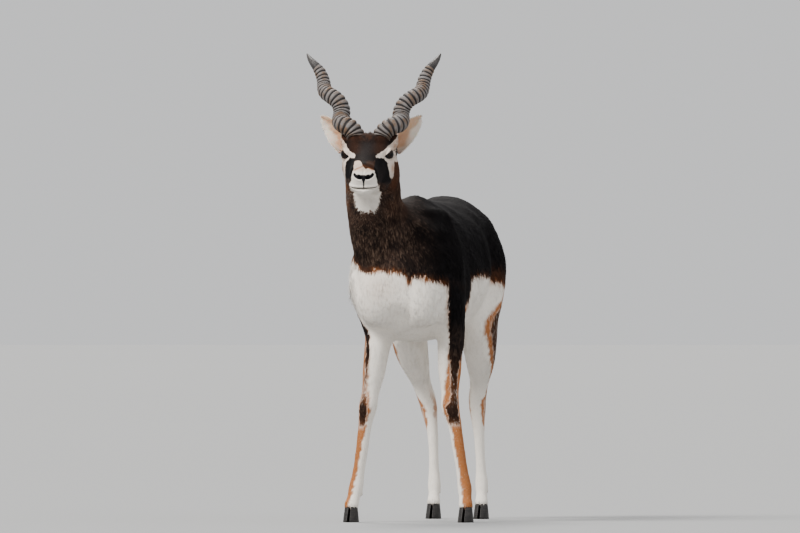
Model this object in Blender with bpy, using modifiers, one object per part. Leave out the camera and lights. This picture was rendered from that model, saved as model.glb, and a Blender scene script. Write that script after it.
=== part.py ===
"""A male blackbuck standing square with its head raised, life size.

The animal faces -Y, its left side is +X and the ground is Z = 0. The flesh is lofted in lengths, joined by
a voxel remesh, smoothed, then parted into named nodes by thin plane cuts. Horns, ears, eyes and hooves are
solids of their own.
"""

import math

import bmesh
import bpy
import numpy as np
from mathutils import Matrix, Vector

# Driving dimensions, in metres
WITHERS = 0.79  # height of the shoulder
BELLY = 0.43  # height of the brisket between the forelegs
KNEE, FETLOCK, CORONET = 0.275, 0.082, 0.037  # heights of the foreleg's joints
HOCK, STIFLE = 0.287, 0.49  # heights of the hind leg's joints
FORE_Y, HIND_Y = -0.205, 0.372  # where the fore and hind cannons stand, along the body
CUT_GAP, SOCKET_GAP = 0.0003, 0.0006  # left between nodes that meet at a cut, and round what is set in a socket

# The head: the point between the eyes, and how the face is turned
EYES_AT = Vector((-0.048, -0.403, 0.872))
FACE_PITCH, FACE_YAW = math.radians(14), math.radians(10)
EYE_SIDE, EYE_FORWARD, EYE_UP, EYE_RADIUS = 0.0470, 0.004, 0.010, 0.0165

# Horns, in the head's own frame (side, back, up): a straight axis with a corkscrew round it
HORN_ROOT, HORN_AXIS = Vector((0.031, 0.036, 0.043)), Vector((0.425, 0.760, 0.490))
HORN_LENGTH, HORN_RADIUS, HORN_COIL = 0.304, 0.0212, 0.0078
HORN_FLARE = 0.0065  # how far the horn leans out just above its root
HORN_BOW = {1: 0.009, -1: 0.0}  # how far the left and the right horn bow out at half their length
HORN_RINGS, HORN_RING_DEPTH = 26, 0.0019

EAR_ROOT, EAR_AIM = Vector((0.054, 0.090, 0.000)), Vector((0.58, 0.54, 0.59))
EAR_LENGTH, EAR_WIDTH, EAR_THICKNESS = 0.112, 0.046, 0.0034
# Share of the ear's length, and its width there as a share of the widest
EAR_OUTLINE = (
    (0.0, 0.66),
    (0.12, 0.74),
    (0.26, 0.84),
    (0.42, 0.97),
    (0.56, 1.0),
    (0.70, 0.90),
    (0.82, 0.68),
    (0.91, 0.44),
    (0.97, 0.22),
    (1.0, 0.06),
)

# Meshing
VOXEL = 0.0045
FLESH_TRIANGLES = 7600
HIDE_COLOURS = {
    "dark": (0.035, 0.024, 0.020, 1),
    "pale": (0.74, 0.69, 0.62, 1),
    "tan": (0.36, 0.17, 0.075, 1),
    "horn": (0.16, 0.13, 0.11, 1),
    "hoof": (0.025, 0.022, 0.021, 1),
    "eye": (0.02, 0.010, 0.006, 1),
}

# Trunk, front to back: side, along, spine height, underline height, half width, widest height, roundness above
TRUNK = [
    (0.002, -0.306, 0.628, 0.505, 0.056, 0.570, 2.0),
    (0.002, -0.276, 0.684, 0.462, 0.100, 0.572, 2.0),
    (0.001, -0.220, 0.748, 0.437, 0.131, 0.575, 1.8),
    (-0.004, -0.130, WITHERS - 0.002, BELLY, 0.139, 0.575, 1.6),
    (-0.008, 0.000, 0.781, 0.433, 0.143, 0.585, 1.7),
    (-0.012, 0.120, 0.781, 0.453, 0.142, 0.607, 1.9),
    (-0.018, 0.220, 0.787, 0.492, 0.130, 0.640, 2.1),
    (-0.021, 0.300, 0.788, 0.535, 0.116, 0.660, 2.0),
    (-0.022, 0.360, 0.752, 0.580, 0.094, 0.655, 1.9),
    (-0.022, 0.400, 0.694, 0.615, 0.056, 0.650, 2.0),
]

# Neck, head end first: side, along, up, half width, half depth towards the nape, and towards the throat
NECK = [
    (-0.050, -0.350, 0.890, 0.046, 0.046, 0.050),
    (-0.051, -0.336, 0.860, 0.062, 0.060, 0.062),
    (-0.059, -0.311, 0.812, 0.065, 0.074, 0.074),
    (-0.063, -0.276, 0.757, 0.068, 0.089, 0.090),
    (-0.058, -0.236, 0.700, 0.0725, 0.110, 0.114),
    (-0.032, -0.180, 0.645, 0.084, 0.130, 0.142),
    (-0.012, -0.110, 0.600, 0.090, 0.145, 0.150),
]

# Head, nose first, in its own frame: forward of the eyes, middle height, half width, crown height, jaw depth
HEAD = [
    (0.134, -0.016, 0.0265, 0.020, 0.025),
    (0.124, -0.016, 0.0330, 0.030, 0.037),
    (0.103, -0.018, 0.0365, 0.036, 0.044),
    (0.073, -0.020, 0.0400, 0.044, 0.050),
    (0.038, -0.022, 0.0490, 0.054, 0.060),
    (0.003, -0.022, 0.0595, 0.065, 0.068),
    (-0.032, -0.022, 0.0630, 0.073, 0.072),
    (-0.065, -0.022, 0.0560, 0.064, 0.062),
    (-0.095, -0.022, 0.0410, 0.042, 0.040),
]

# Foreleg, top first: up, along from the cannon, half width, half depth behind, and in front
FORELEG = [
    (0.735, 0.062, 0.030, 0.036, 0.036),
    (0.660, 0.020, 0.043, 0.068, 0.066),
    (0.580, -0.012, 0.047, 0.086, 0.082),
    (0.510, 0.006, 0.042, 0.080, 0.066),
    (0.452, 0.018, 0.036, 0.062, 0.044),
    (0.405, 0.004, 0.0320, 0.038, 0.035),
    (0.355, 0.002, 0.0285, 0.028, 0.028),
    (0.308, 0.000, 0.0225, 0.0215, 0.0220),
    (KNEE, -0.002, 0.0235, 0.0215, 0.0250),
    (0.243, 0.001, 0.0186, 0.0190, 0.0185),
    (0.175, 0.000, 0.0158, 0.0170, 0.0155),
    (0.110, 0.000, 0.0152, 0.0170, 0.0150),
    (FETLOCK, -0.002, 0.0175, 0.0210, 0.0175),
    (0.056, -0.011, 0.0152, 0.0155, 0.0150),
    (CORONET, -0.020, 0.0178, 0.0165, 0.0175),
    (0.018, -0.026, 0.0182, 0.0170, 0.0182),
]
# Sideways place of each foreleg at heights from the withers to the hoof
FORE_LEVELS = (0.735, 0.620, 0.560, 0.452, 0.388, 0.340, KNEE, 0.243, 0.200, CORONET)
FORE_SPLAY = {
    "left": (0.058, 0.096, 0.098, 0.101, 0.103, 0.1015, 0.1045, 0.1125, 0.120, 0.147),
    "right": (-0.066, -0.093, -0.092, -0.0735, -0.075, -0.0825, -0.093, -0.0995, -0.1045, -0.130),
}
FORE_STEP = {"left": 0.012, "right": -0.012}

# Hind leg, top first: up, along from the cannon, half width, half depth behind, and in front
HINDLEG = [
    (0.715, -0.110, 0.044, 0.080, 0.080),
    (0.650, -0.100, 0.058, 0.118, 0.108),
    (0.570, -0.102, 0.061, 0.118, 0.112),
    (STIFLE, -0.118, 0.049, 0.098, 0.094),
    (0.430, -0.094, 0.0440, 0.068, 0.060),
    (0.378, -0.052, 0.0350, 0.042, 0.042),
    (0.330, -0.010, 0.0240, 0.0260, 0.0260),
    (HOCK, 0.014, 0.0222, 0.0270, 0.0300),
    (0.262, 0.0135, 0.0210, 0.0225, 0.0240),
    (0.240, 0.0115, 0.0175, 0.0190, 0.0195),
    (0.205, 0.0075, 0.0142, 0.0165, 0.0165),
    (0.175, 0.004, 0.0128, 0.0155, 0.0155),
    (0.112, -0.004, 0.0132, 0.0158, 0.0145),
    (FETLOCK, -0.008, 0.0162, 0.0200, 0.0170),
    (0.056, -0.018, 0.0138, 0.0145, 0.0140),
    (CORONET, -0.027, 0.0170, 0.0160, 0.0170),
    (0.018, -0.033, 0.0175, 0.0165, 0.0180),
]
# Sideways place of each hind leg at heights from the croup to the hoof
HIND_LEVELS = (0.715, 0.640, STIFLE, 0.424, 0.388, 0.340, 0.310, HOCK, 0.243, 0.200, CORONET)
HIND_SPLAY = {
    "left": (0.045, 0.064, 0.066, 0.063, 0.058, 0.0455, 0.036, 0.032, 0.034, 0.0385, 0.052),
    "right": (-0.078, -0.100, -0.112, -0.114, -0.112, -0.110, -0.103, -0.0985, -0.090, -0.083, -0.0735),
}
HIND_STEP = {"left": -0.012, "right": 0.012}

# Tail, root first: along, up, half width, half depth
TAIL = [
    (0.395, 0.728, 0.018, 0.016),
    (0.426, 0.716, 0.019, 0.015),
    (0.448, 0.684, 0.020, 0.012),
    (0.453, 0.640, 0.021, 0.011),
    (0.448, 0.596, 0.017, 0.010),
    (0.440, 0.562, 0.007, 0.005),
]

HEAD_FRAME = (
    Matrix.Translation(EYES_AT)
    @ Matrix.Rotation(FACE_YAW, 4, "Z")
    @ Matrix.Rotation(FACE_PITCH, 4, "X")
)
SIDES = {"left": 1, "right": -1}


def clear_scene():
    for obj in list(bpy.data.objects):
        bpy.data.objects.remove(obj)


def material(name):
    """A plain coat, horn or hoof finish."""
    made = bpy.data.materials.get(name)
    if made is None:
        made = bpy.data.materials.new(name)
        made.use_nodes = True
        shader = made.node_tree.nodes["Principled BSDF"]
        shader.inputs["Base Color"].default_value = HIDE_COLOURS[name]
        shader.inputs["Roughness"].default_value = 0.2 if name == "eye" else 0.75
    return made


def add_object(name, bm, collection, finish=None):
    """Turns a bmesh into a named object with outward faces."""
    bmesh.ops.recalc_face_normals(bm, faces=bm.faces)
    mesh = bpy.data.meshes.new(name)
    bm.to_mesh(mesh)
    bm.free()
    obj = bpy.data.objects.new(name, mesh)
    collection.objects.link(obj)
    if finish:
        mesh.materials.append(material(finish))
    return obj


def blended(rows, steps):
    """Rows of numbers joined by a Catmull-Rom curve, spaced by the distance between their first three."""
    rows = np.array(rows, float)
    gaps = np.linalg.norm(np.diff(rows[:, :3], axis=0), axis=1)[:, None]
    slopes = np.diff(rows, axis=0) / gaps
    inner = (slopes[:-1] * gaps[1:] + slopes[1:] * gaps[:-1]) / (gaps[:-1] + gaps[1:])
    tangents = np.vstack([slopes[:1], inner, slopes[-1:]])
    out = []
    for i, gap in enumerate(gaps):
        for t in np.arange(steps) / steps:
            out.append(
                (2 * t**3 - 3 * t**2 + 1) * rows[i]
                + (t**3 - 2 * t**2 + t) * gap * tangents[i]
                + (3 * t**2 - 2 * t**3) * rows[i + 1]
                + (t**3 - t**2) * gap * tangents[i + 1]
            )
    return np.array([*out, rows[-1]])


def skin_rings(bm, rings):
    """Joins equal rings of points in order, with a fan on each end."""
    made = [[bm.verts.new(point) for point in ring] for ring in rings]
    count = len(made[0])
    for first, second in zip(made, made[1:]):
        for k in range(count):
            bm.faces.new((first[k], first[(k + 1) % count], second[(k + 1) % count], second[k]))
    for ring in (made[0], made[-1]):
        centre = bm.verts.new(sum((v.co for v in ring), Vector()) / count)
        for k in range(count):
            bm.faces.new((ring[k], ring[(k + 1) % count], centre))


def loft(bm, rows, sides=24, steps=5, ends=(0.0, 0.0), frame=Matrix()):
    """Skins stations of (side, along, up, half width, half depth behind, in front, roundness behind).

    Each end may bulge by a length, which rounds it off.
    """
    rows = [row if len(row) == 7 else (*row, 2.0) for row in rows]
    stations = blended(rows, steps)
    centres = stations[:, :3]
    tangents = np.gradient(centres, axis=0)
    tangents /= np.linalg.norm(tangents, axis=1)[:, None]
    shrink = []
    for at, bulge, way in ((0, ends[0], -1), (len(stations) - 1, ends[1], 1)):
        turns = [math.radians(a) for a in (30, 55, 76)] if bulge else []
        shrink.append([(at, math.cos(a), way * bulge * math.sin(a)) for a in turns])
    order = shrink[0][::-1] + [(i, 1.0, 0.0) for i in range(len(stations))] + shrink[1]
    rings = []
    for i, scale, shift in order:
        tangent = Vector(tangents[i])
        across = (Vector((1, 0, 0)) - tangent * tangent.x).normalized()
        behind = across.cross(tangent)
        middle = Vector(centres[i]) + tangent * shift
        wide, back, front, power = stations[i, 3:]
        ring = []
        for k in range(sides):
            c, s = math.cos(2 * math.pi * k / sides), math.sin(2 * math.pi * k / sides)
            bend = 2 / (power if s > 0 else 2.0)
            x = wide * math.copysign(abs(c) ** bend, c)
            y = (back if s > 0 else front) * math.copysign(abs(s) ** bend, s)
            ring.append(frame @ (middle + (across * x + behind * y) * scale))
        rings.append(ring)
    skin_rings(bm, rings)


def ellipsoid(bm, centre, radii, frame=Matrix(), turn=(0, 0, 0)):
    spin = Matrix.Rotation(turn[2], 4, "Z") @ Matrix.Rotation(turn[1], 4, "Y") @ Matrix.Rotation(turn[0], 4, "X")
    place = frame @ Matrix.Translation(centre) @ spin @ Matrix.Diagonal((*radii, 1))
    bmesh.ops.create_icosphere(bm, subdivisions=3, radius=1, matrix=place)


def limb_rows(stations, stand_y, step, levels, splay):
    """Stations of one leg, with its own splay and step: the step grows from nothing at the top."""
    rows = []
    for up, along, *girth in stations:
        side = float(np.interp(up, levels[::-1], splay[::-1]))
        share = min(1.0, max(0.0, (0.60 - up) / 0.25))
        rows.append((side, stand_y + along + step * share, up, *girth))
    return rows


def foreleg_rows(side):
    return limb_rows(FORELEG, FORE_Y, FORE_STEP[side], FORE_LEVELS, FORE_SPLAY[side])


def hindleg_rows(side):
    return limb_rows(HINDLEG, HIND_Y, HIND_STEP[side], HIND_LEVELS, HIND_SPLAY[side])


def trunk_rows():
    return [
        (side, y, widest, half, spine - widest, widest - under, power)
        for side, y, spine, under, half, widest, power in TRUNK
    ]


def head_rows():
    return [(0, -forward, middle, half, crown, jaw, 2.2) for forward, middle, half, crown, jaw in HEAD]


def flesh_lengths():
    """Every length and mass of flesh, overlapping, in one bmesh."""
    bm = bmesh.new()
    loft(bm, trunk_rows(), sides=40, ends=(0.020, 0.028))
    loft(bm, NECK, sides=32, ends=(0.010, 0.010))
    loft(bm, head_rows(), sides=32, ends=(0.010, 0.014), frame=HEAD_FRAME)
    for side in SIDES:
        loft(bm, foreleg_rows(side), ends=(0.02, 0))
        loft(bm, hindleg_rows(side), ends=(0.03, 0))
    head_masses(bm)
    body_masses(bm)
    return bm


def head_masses(bm):
    """Brow and orbit, horn pedicle, ear base, cheek, lips and chin on each side of the head."""
    for sign in SIDES.values():
        eye = Vector((sign * EYE_SIDE, -EYE_FORWARD, EYE_UP))
        ellipsoid(bm, eye - Vector((sign * 0.008, 0, 0)), (0.0215, 0.0265, 0.0215), HEAD_FRAME)
        ellipsoid(bm, (sign * 0.026, 0.028, 0.030), (0.026, 0.030, 0.020), HEAD_FRAME)
        ear_base = (sign * EAR_ROOT.x * 0.88, EAR_ROOT.y - 0.003, EAR_ROOT.z - 0.004)
        ellipsoid(bm, ear_base, (0.021, 0.021, 0.022), HEAD_FRAME)
        ellipsoid(bm, (sign * 0.053, 0.068, 0.026), (0.018, 0.030, 0.025), HEAD_FRAME)
        ellipsoid(bm, (sign * 0.032, -0.010, -0.050), (0.020, 0.050, 0.030), HEAD_FRAME)
        ellipsoid(bm, (sign * 0.0180, -0.105, -0.037), (0.0195, 0.033, 0.0125), HEAD_FRAME)
        ellipsoid(bm, (sign * 0.0125, -0.128, -0.011), (0.0140, 0.0140, 0.0130), HEAD_FRAME)
    ellipsoid(bm, (0, -0.115, -0.0525), (0.0225, 0.027, 0.0125), HEAD_FRAME)
    ellipsoid(bm, (0, -0.128, -0.020), (0.0200, 0.0155, 0.0240), HEAD_FRAME)


def body_masses(bm):
    """Breast muscles, elbow points, sheath, scrotum and dewclaws."""
    for side, sign in SIDES.items():
        ellipsoid(bm, (TRUNK[1][0] + sign * 0.056, -0.270, 0.545), (0.062, 0.058, 0.085))
        elbow_x = FORE_SPLAY[side][3]
        ellipsoid(bm, (elbow_x, FORE_Y + 0.075, 0.462), (0.018, 0.022, 0.026))
        ellipsoid(bm, (TRUNK[-1][0] + sign * 0.017, 0.300, 0.492), (0.021, 0.026, 0.040))
        for rows in (foreleg_rows(side), hindleg_rows(side)):
            x, y = next(row[:2] for row in rows if row[2] == FETLOCK)
            for inner in (-1, 1):
                ellipsoid(bm, (x + inner * 0.0085, y + 0.019, 0.068), (0.0055, 0.0060, 0.0100))
    ellipsoid(bm, (-0.012, 0.150, 0.452), (0.015, 0.060, 0.020))


def remeshed(bm, voxel):
    """One closed surface over every length, by a voxel remesh."""
    source = add_object("lengths", bm, bpy.context.scene.collection)
    modifier = source.modifiers.new("Join", "REMESH")
    modifier.mode = "VOXEL"
    modifier.voxel_size = voxel
    graph = bpy.context.evaluated_depsgraph_get()
    mesh = bpy.data.meshes.new_from_object(source.evaluated_get(graph))
    bpy.data.objects.remove(source)
    return mesh


def head_points(points):
    """World points in the head's own frame."""
    turn = np.array(HEAD_FRAME.inverted())
    return points @ turn[:3, :3].T + turn[:3, 3]


def ramp(values, low, high):
    t = np.clip((values - low) / (high - low), 0, 1)
    return t * t * (3 - 2 * t)


def slackness(points):
    """How far smoothing may move each point: fully on the trunk, little on the face and the thin legs."""
    low_leg = ramp(points[:, 2], 0.40, 0.52)
    local = head_points(points)
    near_head = ramp(np.linalg.norm(local - (0, 0.0, -0.02), axis=1), 0.13, 0.20)
    return 0.10 + 0.90 * low_leg * near_head


def relax(mesh, rounds, weight):
    """Laplacian smoothing by each point's own weight."""
    count = len(mesh.vertices)
    points = np.empty(count * 3)
    mesh.vertices.foreach_get("co", points)
    points = points.reshape(-1, 3)
    edges = np.empty(len(mesh.edges) * 2, int)
    mesh.edges.foreach_get("vertices", edges)
    a, b = edges.reshape(-1, 2).T
    degree = np.bincount(np.concatenate([a, b]), minlength=count)[:, None]
    pull = weight(points)[:, None] * 0.5
    for _ in range(rounds):
        total = np.stack(
            [np.bincount(a, points[b, k], count) + np.bincount(b, points[a, k], count) for k in range(3)], axis=1
        )
        points += pull * (total / degree - points)
    mesh.vertices.foreach_set("co", points.ravel())
    mesh.update()


def refine_head(mesh):
    """Splits the quads of the face, and those of the nose and lids once more, for the small features."""
    bm = bmesh.new()
    bm.from_mesh(mesh)
    for finer in (False, True):
        points = head_points(np.array([v.co for v in bm.verts]))
        inside = (points[:, 1] < 0.045) & (np.linalg.norm(points, axis=1) < 0.19)
        if finer:
            to_eye = np.linalg.norm(np.abs(points) - np.abs((EYE_SIDE, EYE_FORWARD, EYE_UP)), axis=1)
            inside &= (to_eye < 0.026) | ((points[:, 1] < -0.110) & (points[:, 2] > -0.052))
        edges = [e for e in bm.edges if inside[e.verts[0].index] and inside[e.verts[1].index]]
        bmesh.ops.subdivide_edges(bm, edges=edges, cuts=1, use_grid_fill=True)
        bm.verts.index_update()
    bm.to_mesh(mesh)
    bm.free()
    mesh.update()


def carve_face(mesh):
    """Sets the lids over the eyeballs and sinks the nostrils, the mouth line and the gland before each eye."""
    count = len(mesh.vertices)
    world = np.empty(count * 3)
    mesh.vertices.foreach_get("co", world)
    world = world.reshape(-1, 3)
    points = head_points(world)
    side = np.sign(points[:, 0])
    p = points * np.stack([side, np.ones(count), np.ones(count)], axis=1)

    eye = np.array((EYE_SIDE, -EYE_FORWARD, EYE_UP))
    look = np.array((0.86, -0.48, 0.10))
    look /= np.linalg.norm(look)
    along = np.cross((0, 0, 1), look)
    along /= np.linalg.norm(along)
    rise = np.cross(look, along)
    q = p - eye
    reach = np.linalg.norm(q, axis=1)
    span = q @ along
    span = np.where(span > 0, span / 0.0158, span / 0.0142)
    opening = np.sqrt(np.abs(span) ** 1.7 + (np.abs(q @ rise - 0.40 * (q @ along)) / 0.0098) ** 1.9)
    facing = q @ look > 0
    near = facing & (reach < 0.034)
    lid = EYE_RADIUS + 0.0021
    target = np.where(opening < 1, EYE_RADIUS - 0.0045, lid)
    share = np.where(near, 1 - ramp(opening, 1.40, 2.2), 0)
    q *= (1 + share * (target / np.maximum(reach, 1e-6) - 1))[:, None]
    p = eye + q

    def groove(distance, width, depth):
        return depth * np.exp(-((distance / width) ** 2))

    front = p[:, 1] < -0.06
    mouth_up = -0.0425 - 0.10 * np.clip(p[:, 1] + 0.125, 0, 0.06)
    mouth = groove(p[:, 2] - mouth_up, 0.0022, 0.0034) * ramp(-p[:, 1], 0.066, 0.085)
    centre_line = groove(p[:, 0], 0.0022, 0.0020) * ramp(-p[:, 1], 0.125, 0.135) * (p[:, 2] > -0.045)
    inward = np.stack([-p[:, 0] * 0.9, 0.10 + 0 * p[:, 1], 0 * p[:, 2]], axis=1)
    inward /= np.linalg.norm(inward, axis=1)[:, None]
    p = p + inward * (np.where(front, mouth, 0))[:, None]
    p[:, 1] += np.where(front, mouth * ramp(-p[:, 1], 0.118, 0.135) + centre_line, 0)

    low, high = np.array((0.0062, -0.1440, -0.0215)), np.array((0.0225, -0.1325, -0.0130))
    reach_along = np.clip((p - low) @ (high - low) / ((high - low) @ (high - low)), 0, 1)
    slit = np.linalg.norm((p - low - reach_along[:, None] * (high - low)) / (1, 1.6, 1), axis=1)
    sink = groove(slit, 0.0040, 0.0085) * (p[:, 1] < -0.112)
    p += sink[:, None] * np.array((-0.30, 0.92, 0.05))

    gland = np.linalg.norm((p - (0.040, -0.034, -0.004)) / (1, 1.7, 0.8), axis=1)
    p[:, 0] -= groove(gland, 0.0075, 0.0030)

    p[:, 0] *= side
    frame = np.array(HEAD_FRAME)
    mesh.vertices.foreach_set("co", (p @ frame[:3, :3].T + frame[:3, 3]).ravel())
    mesh.update()


def thinned(mesh, triangles, collection):
    """The flesh brought down to a triangle count, keeping more of them on the face."""
    body = bpy.data.objects.new("body", mesh)
    collection.objects.link(body)
    group = body.vertex_groups.new(name="spare")
    points = head_points(np.array([v.co for v in mesh.vertices]))
    heights = np.array([v.co.z for v in mesh.vertices])
    spare = 0.34 + 0.66 * ramp(np.linalg.norm(points, axis=1), 0.13, 0.26)
    to_eye = np.linalg.norm(np.abs(points) - np.abs((EYE_SIDE, EYE_FORWARD, EYE_UP)), axis=1)
    spare[(to_eye < 0.024) | (points[:, 1] < -0.118)] *= 0.55
    spare *= 0.55 + 0.45 * ramp(heights, 0.40, 0.48)
    for level in np.linspace(0, 1, 12):
        found = np.nonzero(np.abs(spare - level) <= 0.5 / 11)[0]
        group.add(found.tolist(), float(level), "REPLACE")
    modifier = body.modifiers.new("Thin", "DECIMATE")
    modifier.ratio = triangles / sum(len(p.vertices) - 2 for p in mesh.polygons)
    modifier.vertex_group = group.name
    modifier.vertex_group_factor = 0.35
    graph = bpy.context.evaluated_depsgraph_get()
    made = bpy.data.meshes.new_from_object(body.evaluated_get(graph))
    bpy.data.objects.remove(body)
    return made


def half(mesh, point, normal, keep_above):
    """A capped copy of the part of a closed mesh on one side of a plane, drawn back by half the gap."""
    normal = Vector(normal).normalized()
    way = 1 if keep_above else -1
    bm = bmesh.new()
    bm.from_mesh(mesh)
    bmesh.ops.bisect_plane(
        bm,
        geom=[*bm.verts, *bm.edges, *bm.faces],
        dist=1e-6,
        plane_co=Vector(point) + normal * way * CUT_GAP / 2,
        plane_no=normal,
        clear_inner=keep_above,
        clear_outer=not keep_above,
    )
    rim = [e for e in bm.edges if e.is_boundary]
    bmesh.ops.holes_fill(bm, edges=rim, sides=0)
    bmesh.ops.triangulate(bm, faces=bm.faces)
    return bm


def cut(mesh, point, normal):
    """The two capped sides of a plane cut, the one that the normal points to first."""
    sides = []
    for keep_above in (True, False):
        bm = half(mesh, point, normal, keep_above)
        made = bpy.data.meshes.new("cut")
        bm.to_mesh(made)
        bm.free()
        sides.append(made)
    return sides


def loose_bodies(mesh):
    """Each separate surface of a mesh, as its own mesh, largest first."""
    bm = bmesh.new()
    bm.from_mesh(mesh)
    left, found = set(bm.verts), []
    while left:
        stack, group = [left.pop()], set()
        while stack:
            vert = stack.pop()
            group.add(vert)
            for edge in vert.link_edges:
                other = edge.other_vert(vert)
                if other in left:
                    left.discard(other)
                    stack.append(other)
        found.append(sorted(v.index for v in group))
    bm.free()
    out = []
    for keep in sorted(found, key=len, reverse=True):
        piece = bmesh.new()
        piece.from_mesh(mesh)
        piece.verts.ensure_lookup_table()
        wanted = set(keep)
        bmesh.ops.delete(piece, geom=[v for v in piece.verts if v.index not in wanted], context="VERTS")
        made = bpy.data.meshes.new("piece")
        piece.to_mesh(made)
        piece.free()
        out.append(made)
    return out


def mean_of(mesh):
    return sum((v.co for v in mesh.vertices), Vector()) / len(mesh.vertices)


def thigh_block(sign, grow):
    """A wedge that holds one hind leg: it slopes up from the groin to the hip, and stops at the flank."""
    inner, outer = sign * (0.0004 - grow) - 0.007, sign * 0.30
    back, low = 0.60, -0.10
    corners = []
    for x, top in ((inner, 0.490), (outer, 0.700)):
        corners += [(x, 0.190 - grow, top + grow), (x, back, top + grow)]
        corners += [(x, 0.125 - grow, 0.40), (x, 0.125 - grow, low), (x, back, low)]
    bm = bmesh.new()
    for corner in corners:
        bm.verts.new(corner)
    bmesh.ops.convex_hull(bm, input=bm.verts)
    return bm


def combined(name, mesh, operation, tools, collection, solver="EXACT"):
    """A mesh cut by, or kept within, closed tools."""
    body = bpy.data.objects.new(name, mesh)
    collection.objects.link(body)
    for tool in tools:
        modifier = body.modifiers.new("Cut", "BOOLEAN")
        modifier.operation = operation
        modifier.solver = solver
        modifier.object = tool
    graph = bpy.context.evaluated_depsgraph_get()
    made = bpy.data.meshes.new_from_object(body.evaluated_get(graph))
    bpy.data.objects.remove(body)
    return loose_bodies(made)[0]


def part_flesh(mesh, helpers):
    """The flesh as named lengths: head, neck, torso and two lengths of each leg."""
    nodes = {}
    rest = mesh
    for side, sign in SIDES.items():
        block = add_object("block", thigh_block(sign, 0.0), helpers)
        wider = add_object("wider", thigh_block(sign, CUT_GAP), helpers)
        leg = combined("leg", rest.copy(), "INTERSECT", [block], helpers)
        rest = combined("rest", rest, "DIFFERENCE", [wider], helpers)
        upper, lower = cut(leg, (0, 0, HOCK - 0.038), (0, 0, 1))
        nodes[f"thigh_{side}"] = upper
        nodes[f"hind_cannon_{side}"] = cut(lower, (0, 0, CORONET), (0, 0, 1))[0]
        for helper in (block, wider):
            bpy.data.objects.remove(helper)
    head, rest = cut(rest, (-0.05, -0.302, 0.850), (-0.10, -0.95, 0.30))
    nodes["head"] = head
    neck, rest = cut(rest, (0, -0.245, 0.700), (0, -0.72, 0.69))
    nodes["neck"] = neck
    torso, legs = cut(rest, (0, 0, BELLY - 0.012), (0, 0, 1))
    nodes["torso"] = torso
    for piece in loose_bodies(legs)[:2]:
        side = "left" if mean_of(piece).x > 0 else "right"
        upper, lower = cut(piece, (0, 0, KNEE - 0.034), (0, 0, 1))
        nodes[f"forearm_{side}"] = upper
        nodes[f"fore_cannon_{side}"] = cut(lower, (0, 0, CORONET), (0, 0, 1))[0]
    return {name: loose_bodies(made)[0] for name, made in nodes.items()}


def horn(name, sign, collection, grow=0.0):
    """A corkscrew of rising pitch, ringed from its root and smooth at its tip, on a bevelled curve."""
    axis = Vector((sign * HORN_AXIS.x, HORN_AXIS.y, HORN_AXIS.z)).normalized()
    out = (Vector((sign, 0, 0)) - axis * axis.x * sign).normalized()
    back = axis.cross(out) * sign
    root = Vector((sign * HORN_ROOT.x, HORN_ROOT.y, HORN_ROOT.z))
    per_ring = 2
    count = HORN_RINGS * per_ring + 8
    curve = bpy.data.curves.new(name, "CURVE")
    curve.dimensions = "3D"
    curve.bevel_depth = 1.0
    curve.bevel_resolution = 4
    curve.use_fill_caps = True
    curve.twist_mode = "MINIMUM"
    spline = curve.splines.new("POLY")
    spline.points.add(count - 1)
    ringed = HORN_RINGS * per_ring
    for i, point in enumerate(spline.points):
        s = 0.84 * i / ringed if i <= ringed else 0.84 + 0.16 * (i - ringed) / (count - 1 - ringed)
        angle = math.radians(1290 * s - 350 * s * s - 247)
        coil = HORN_COIL * (1 - s**4)
        place = root + axis * (HORN_LENGTH * s)
        place += (out * math.cos(angle) + back * math.sin(angle)) * coil
        place += out * (HORN_FLARE * math.exp(-(((s - 0.13) / 0.14) ** 2)))
        place += out * (HORN_BOW[sign] * math.sin(math.pi * s))
        radius = HORN_RADIUS * (1 - 0.28 * s - 0.63 * s**5)
        depth = HORN_RING_DEPTH * (1 - 0.5 * s)
        ring = (depth if i % per_ring else -depth) if 0 < i < ringed else 0
        point.co = (*(HEAD_FRAME @ place), 1)
        point.radius = radius + ring + 1.5 * grow
    first, second = (Vector(point.co[:3]) for point in spline.points[:2])
    spline.points[0].co = (*(first - (second - first).normalized() * grow), 1)
    obj = bpy.data.objects.new(name, curve)
    collection.objects.link(obj)
    return meshed(obj, collection, "horn")


def meshed(obj, collection, finish):
    """A curve or a modified object as a plain mesh object with its caps welded."""
    name = obj.name
    graph = bpy.context.evaluated_depsgraph_get()
    mesh = bpy.data.meshes.new_from_object(obj.evaluated_get(graph))
    bm = bmesh.new()
    bm.from_mesh(mesh)
    bmesh.ops.remove_doubles(bm, verts=bm.verts, dist=1e-5)
    bpy.data.objects.remove(obj)
    bpy.data.meshes.remove(mesh)
    return add_object(name, bm, collection, finish)


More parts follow.
